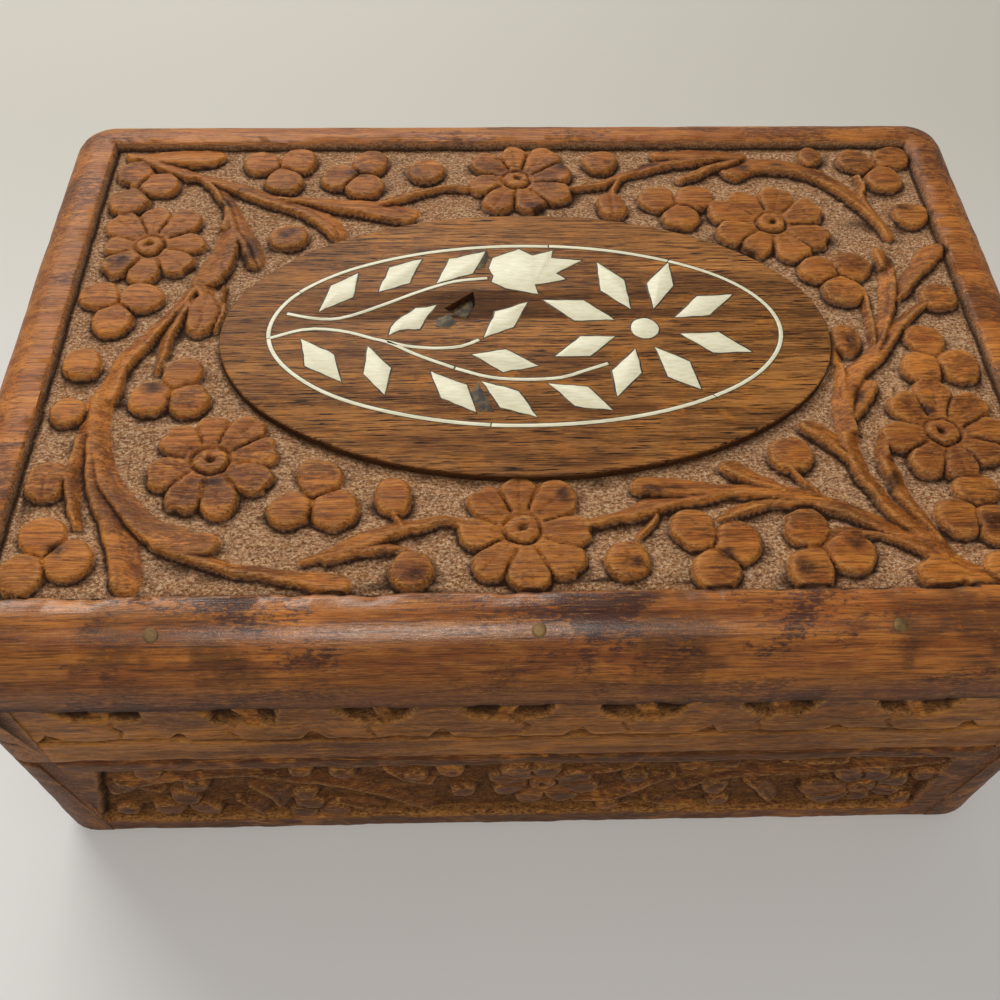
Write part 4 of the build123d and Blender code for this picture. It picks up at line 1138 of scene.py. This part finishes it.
def make_screws(name, x_middle, upright):
    """Two countersunk screws with a slot: upright ones show their heads from above."""
    way, head_z = (1, BASE_TOP) if upright else (-1, RAIL_BOTTOM)
    parts = []
    for number, x in enumerate((x_middle - SCREW_SPREAD, x_middle + SCREW_SPREAD)):
        profile = [(radius, way * height + head_z) for radius, height in SCREW_PROFILE]
        parts.append(lathe(f"{name}_shank_{number}", profile, (x, SCREW_Y, 0)))
        for side in (-1, 1):
            chord = math.acos(SLOT_HALF / HEAD_RADIUS)
            turns = np.linspace(-chord, chord, 15) + (0.5 + 1.1 * number) + (0 if side > 0 else math.pi)
            outline = arc(turns, HEAD_RADIUS, HEAD_RADIUS) + (x, SCREW_Y)
            low, high = sorted((head_z - way * 0.4, head_z - way * 0.02))
            parts.append(slab(f"{name}_half_{number}_{side}", outline, high, low, 0.05))
    return join(parts, name)


def make_nails():
    """The three brads in the front border, with domed heads that follow the border's slope."""
    parts = []
    for number, x in enumerate(NAILS_X):
        place = (x, NAIL_Y, LID_TOP - 0.62)
        parts.append(lathe(f"nail_head_{number}", NAIL_DOME, place, NAIL_TILT))
        parts.append(lathe(f"nail_shank_{number}", NAIL_SHANK, place))
    return join(parts, "lid_nails_shown")


class Shading:
    """Builds one material's nodes."""

    def __init__(self, name):
        self.material = bpy.data.materials.new(name)
        self.material.use_nodes = True
        self.nodes, self.links = self.material.node_tree.nodes, self.material.node_tree.links
        self.nodes.clear()
        output = self.nodes.new("ShaderNodeOutputMaterial")
        self.shader = self.nodes.new("ShaderNodeBsdfPrincipled")
        self.links.new(self.shader.outputs[0], output.inputs[0])
        self.place = self.node("TexCoord", "Object")

    def link(self, value, socket):
        """Gives a socket another node's result, a number or a colour."""
        if isinstance(value, bpy.types.NodeSocket):
            self.links.new(value, socket)
        else:
            socket.default_value = colour(value) if isinstance(value, str) else value

    def node(self, kind, result, inputs=None, **settings):
        """One result of a new node."""
        node = self.nodes.new(f"ShaderNode{kind}")
        for setting, value in settings.items():
            setattr(node, setting, value)
        for socket, value in (inputs or {}).items():
            self.link(value, node.inputs[socket])
        return node.outputs[result]

    def noise(self, scale, detail, rough, warp=0.0, turn=0.0):
        """Smooth noise, with its scale in humps to the millimetre along each axis."""
        scale = [value / MM for value in scale]
        place = self.node("Mapping", 0, {"Vector": self.place, "Scale": scale, "Rotation": (0, 0, turn)})
        inputs = {"Vector": place, "Scale": 1.0, "Detail": detail, "Roughness": rough, "Distortion": warp}
        return self.node("TexNoise", "Fac", inputs)

    def value(self, name):
        """One of the mesh's surface values."""
        return self.node("Attribute", "Fac", attribute_name=name)

    def band(self, value, low, high, top=1.0):
        """Runs from 0 at low to top at high."""
        inputs = {"Value": value, "From Min": low, "From Max": high, "To Min": 0.0, "To Max": top}
        return self.node("MapRange", "Result", inputs, interpolation_type="SMOOTHSTEP")

    def math(self, operation, first, second):
        """What an operation makes of two values."""
        return self.node("Math", 0, {0: first, 1: second}, operation=operation)

    def times(self, first, second):
        """One value times another."""
        return self.math("MULTIPLY", first, second)

    def plus(self, first, second):
        """One value and another together."""
        return self.math("ADD", first, second)

    def layers(self, base, *rows):
        """A colour with others laid over it, each by its share; 6, 7 and 2 are the sockets for colours."""
        for share, over in rows:
            base = self.node("Mix", 2, {0: share, 6: base, 7: over}, data_type="RGBA", clamp_factor=True)
        return base

    def bump(self, height, strength, distance, before=None):
        """The surface turned as a height of up to distance, in millimetres, would turn it."""
        inputs = {"Strength": strength, "Distance": distance * MM, "Height": height}
        if before is not None:
            inputs["Normal"] = before
        return self.node("Bump", 0, inputs)

    def finish(self, base, roughness, **others):
        """The material with its shader's sockets set."""
        for socket, value in {"Base Color": base, "Roughness": roughness, **others}.items():
            self.link(value, self.shader.inputs[socket])
        return self.material


def colour(text):
    """A colour written as six hexadecimal digits, as linear light."""
    parts = [int(text[start:start + 2], 16) / 255 for start in (1, 3, 5)]
    return [*(part / 12.92 if part <= 0.04045 else ((part + 0.055) / 1.055) ** 2.4 for part in parts), 1]


def wood(name, light, dark, along="x", mottle=0.5, pores=0.4, grain=0.45,
         floor_light="#BC906C", floor_dark="#805838", dust="#D0B592"):
    """Old stained wood: fibres, pores and dark mottling, a matt ground, hollows darkened with painted shade
    and dirt, and worn edges.
    """
    shading = Shading(name)
    band, times, plus = shading.band, shading.times, shading.plus

    def grained(with_grain, across, *settings):
        """Noise drawn out along the grain."""
        return shading.noise([with_grain if axis == along else across for axis in "xyz"], *settings)

    streaks = grained(0.03, 0.42, 6, 0.62, 0.5)
    fibres = grained(0.22, 4.4, 3, 0.7)
    lines = grained(0.06, 2.0, 4, 0.6)
    flecks = grained(0.9, 2.1, 4, 0.75)
    patches = grained(0.055, 0.085, 5, 0.62, 0.6)
    blots = grained(0.16, 0.24, 5, 0.7, 0.5)
    broad = grained(0.028, 0.04, 2, 0.5)
    speck = grained(1.2, 3.0, 4, 0.75, 0.6)
    grit = shading.noise((2.3, 2.9, 2.6), 3, 0.75)
    pore = band(grained(0.24, 5.0, 2, 0.5), 0.58, 0.63)
    ground, shade_and_dirt, worn, stain, bare, border = (shading.value(kind) for kind in SURFACE_VALUES)

    mottled = plus(times(patches, 0.66), times(flecks, 0.34))
    floor = shading.layers(
        floor_dark, (band(speck, 0.36, 0.62), floor_light), (band(blots, 0.46, 0.66, 0.45), "#96653A"),
        (band(fibres, 0.52, 0.68, 0.45), "#583820"), (band(grit, 0.53, 0.61, 0.75), "#4A2C16"),
        (band(grit, 0.47, 0.38, 0.85), dust),
    )
    fresh = shading.layers(
        "#9A6C3C", (band(streaks, 0.36, 0.64), "#C0945E"), (band(fibres, 0.50, 0.68, 0.4), "#6C4624")
    )
    base = shading.layers(
        dark, (band(streaks, 0.34, 0.66), light), (band(blots, 0.50, 0.66, 0.6), "#B9742C"),
        (band(broad, 0.56, 0.40, 0.35), "#5E3414"),
        (times(band(mottled, 0.50, 0.58, mottle), plus(times(border, 0.35), 0.62)), "#3A1C14"),
        (band(lines, 0.50, 0.66, grain), "#46230E"), (band(fibres, 0.50, 0.64, 0.55), "#381A0A"),
        (band(fibres, 0.44, 0.32, 0.40), "#C98D48"), (times(pore, pores), "#1C0D05"),
        (times(ground, 0.95), floor), (times(bare, 0.9), fresh),
        (times(worn, band(speck, 0.40, 0.62, 0.6)), "#BE8848"),
        # Painted shade and dirt: the hollows are darkened
        (times(shade_and_dirt, band(speck, 0.10, 0.45, 0.96)), "#240F04"),
        # Stains darken the wood, and so do the painted shade and dirt in the flowers' pits and the darkening
        # towards the board's underside
        (times(stain, band(flecks, 0.25, 0.5, 0.85)), "#281206"),
    )
    roughness = shading.math("SUBTRACT", plus(band(flecks, 0.3, 0.7, 0.16), 0.42), times(border, 0.19))
    roughness = plus(roughness, times(shading.math("MAXIMUM", ground, shade_and_dirt), 0.34))
    roughness = plus(roughness, times(bare, 0.25))
    unpolished = shading.math("SUBTRACT", 1.0, times(border, 0.55))
    rough_ground = times(plus(ground, 0.22), plus(speck, grit))
    normal = None
    for height, strength, distance in (
        (times(lines, unpolished), 0.4, 0.16), (times(fibres, unpolished), 0.55, 0.09), (pore, -0.5, 0.10),
        (times(rough_ground, unpolished), 0.8, 0.26),
    ):
        normal = shading.bump(height, strength, distance, normal)
    shine = plus(times(border, 0.3), 0.16)
    return shading.finish(base, roughness, Normal=normal, **{"Specular IOR Level": shine})


def bone():
    """Ivory-coloured bone with faint streaks and dirt at some edges."""
    shading = Shading("bone_inlay")
    streak = shading.noise((0.5, 2.6, 1.0), 4, 0.6, turn=0.5)
    spots = shading.noise((0.9, 0.9, 0.9), 4, 0.7)
    stained = shading.band(streak, 0.35, 0.7), shading.band(spots, 0.62, 0.74, 0.4)
    base = shading.layers("#DAD6BC", (stained[0], "#CBC4A2"), (stained[1], "#B9A67C"))
    return shading.finish(base, 0.42, Normal=shading.bump(streak, 0.2, 0.05))


def glue():
    """Dark old glue, olive where it is thick."""
    shading = Shading("dark_glue")
    spots = shading.noise((0.7, 0.7, 0.7), 3, 0.6)
    base = shading.layers("#2A190B", (shading.band(spots, 0.42, 0.6), "#57461F"))
    return shading.finish(base, 0.6, Normal=shading.bump(spots, 0.3, 0.08))


def metal(name, bright, dull, rough, metallic):
    """Brass with brown tarnish in patches."""
    shading = Shading(name)
    patches = shading.noise((0.5, 0.5, 0.5), 4, 0.65)
    scratches = shading.noise((0.6, 7.0, 2.0), 3, 0.6, turn=0.3)
    base = shading.layers(bright, (shading.band(patches, 0.40, 0.66), dull))
    roughness = shading.plus(shading.band(patches, 0.3, 0.7, 0.25), rough)
    return shading.finish(base, roughness, Normal=shading.bump(scratches, 0.15, 0.04), Metallic=metallic)


def floor_material():
    """The pale surface that the box stands on, darker at the back."""
    shading = Shading("pale_floor")
    soft = shading.band(shading.noise((0.006, 0.006, 0.006), 3, 0.5), 0.35, 0.65)
    back = shading.band(shading.node("SeparateXYZ", "Y", {0: shading.place}), -0.06, 0.16)
    return shading.finish(shading.layers("#D2D1D0", (soft, "#DCDBDA"), (back, "#B9B6AC")), 0.65)


def paint(piece, material):
    """Gives a piece one material."""
    piece.data.materials.clear()
    piece.data.materials.append(material)


def dress(piece, body, nodes, material):
    """Puts a finished piece on its CAD body, in place of its CAD nodes and with its material."""
    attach(piece, body)
    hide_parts(*nodes)
    paint(piece, material)


# The walls and the rails take darker copies of the lid's wood: painted shade for the faces turned from the
# lamps
shaded_wall_floor = {"floor_light": "#693E18", "floor_dark": "#361C0A", "dust": "#7C5226"}
lid_wood = wood("carved_wood_lid", "#BC742E", "#8E4E1C", mottle=0.95)
oval_wood = wood("carved_wood_oval", "#B0763C", "#6E4620", mottle=0.35, pores=0.95, grain=0.7)
shaded_wall_woods, shaded_rail_woods = (
    {
        along: wood(f"carved_wood_{place}", light, dark, along, mottle=0.6, **shaded_wall_floor)
        for along, place in zip("xy", places)
    }
    for light, dark, places in (
        ("#70401A", "#46260A", ("front", "side")), ("#AA6E30", "#74451A", ("front_rail", "side_rail"))
    )
)
plain_wood = wood("plain_wood", "#B58A54", "#8F6434", mottle=0.15)
bone_material, glue_material = bone(), glue()
hinge_metal = metal("hinge_brass", "#C79A4E", "#7A5426", 0.28, 1.0)
nail_metal = metal("nail_brass", "#7E6238", "#5C4424", 0.5, 0.35)

dress(make_lid_board(carve_lid()), "lid", ["lid_top_panel"], lid_wood)
dress(make_oval(), "lid", ["lid_top_panel"], oval_wood)
inlay_pieces, inlay_outlines = make_inlay()
for node, piece in inlay_pieces.items():
    dress(piece, "lid", [node], bone_material)
dress(make_glue(inlay_outlines), "lid", ["lid_top_panel"], glue_material)
for side in ("front", "back", "left", "right"):
    along = "x" if side in ("front", "back") else "y"
    dress(make_base_wall(side), "base", [f"base_{side}_wall"], shaded_wall_woods[along])
    dress(make_rail(side), "lid", [f"lid_{side}_rail"], shaded_rail_woods[along])
for hinge, x_middle in zip(("left", "right"), HINGE_X):
    for body, upright in (("base", True), ("lid", False)):
        node = f"hinge_{hinge}_{body}_screws"
        dress(make_screws(f"{node}_shown", x_middle, upright), body, [node], hinge_metal)
        paint(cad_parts[f"hinge_{hinge}_{body}_leaf"], hinge_metal)
    paint(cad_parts[f"hinge_{hinge}_pin"], hinge_metal)
dress(make_nails(), "lid", ["lid_nails"], nail_metal)
paint(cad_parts["base_bottom_panel"], plain_wood)

# The camera stands where the photo's did
CAMERA_PLACE = (-7.145, -107.858, 172.953)
CAMERA_PITCH, CAMERA_ROLL, CAMERA_YAW = 0.956023, 0.02143, -0.040085
CAMERA_LENS, CAMERA_SENSOR = 37.8, 36.0
LIGHT_TARGET = (0, 0, 0.03)
FLOOR_HALF = 3


def make_camera():
    """The camera with the photo's lens, place and slight roll."""
    camera = added("camera", bpy.data.cameras.new("camera"))
    camera.data.lens, camera.data.sensor_width = CAMERA_LENS, CAMERA_SENSOR
    camera.data.clip_start, camera.data.clip_end = 0.005, 10
    yaw = Matrix.Rotation(CAMERA_YAW, 3, "Z")
    ahead = yaw @ Vector((0, math.cos(CAMERA_PITCH), -math.sin(CAMERA_PITCH)))
    right, up = yaw @ Vector((1, 0, 0)), yaw @ Vector((0, math.sin(CAMERA_PITCH), math.cos(CAMERA_PITCH)))
    turned_right = math.cos(CAMERA_ROLL) * right + math.sin(CAMERA_ROLL) * up
    turned_up = math.cos(CAMERA_ROLL) * up - math.sin(CAMERA_ROLL) * right
    basis = Matrix((turned_right, turned_up, -ahead)).transposed().to_4x4()
    camera.matrix_world = Matrix.Translation(Vector(CAMERA_PLACE) * MM) @ basis
    bpy.context.scene.camera = camera


def make_light(name, place, size, power, tint):
    """A soft rectangular lamp aimed at the box, in metres."""
    light = added(name, bpy.data.lights.new(name, "AREA"))
    light.data.shape = "RECTANGLE"
    light.data.size, light.data.size_y = size
    light.data.energy = power
    light.data.color = colour(tint)[:3]
    light.location = place
    light.rotation_euler = (Vector(LIGHT_TARGET) - Vector(place)).to_track_quat("-Z", "Y").to_euler()


def make_stage():
    """The floor, the lamps and the soft light all round."""
    mesh = bpy.data.meshes.new("floor")
    corners = [(x * FLOOR_HALF, y * FLOOR_HALF, 0) for x, y in ((-1, -1), (1, -1), (1, 1), (-1, 1))]
    mesh.from_pydata(corners, [], [(0, 1, 2, 3)])
    mesh.materials.append(floor_material())
    added("floor", mesh)
    make_light("window_behind", (-0.28, 0.66, 0.6), (0.8, 0.4), 7.0, "#FFFDF8")
    make_light("lamp_in_front", (-0.06, -0.42, 0.78), (0.12, 0.28), 3.3, "#FFFAF2")
    world = bpy.data.worlds.new("room")
    world.use_nodes = True
    background = world.node_tree.nodes["Background"]
    background.inputs["Color"].default_value = colour("#F4F4F6")
    background.inputs["Strength"].default_value = 0.27
    bpy.context.scene.world = world
    bpy.context.scene.view_settings.view_transform = "Standard"


make_camera()
make_stage()
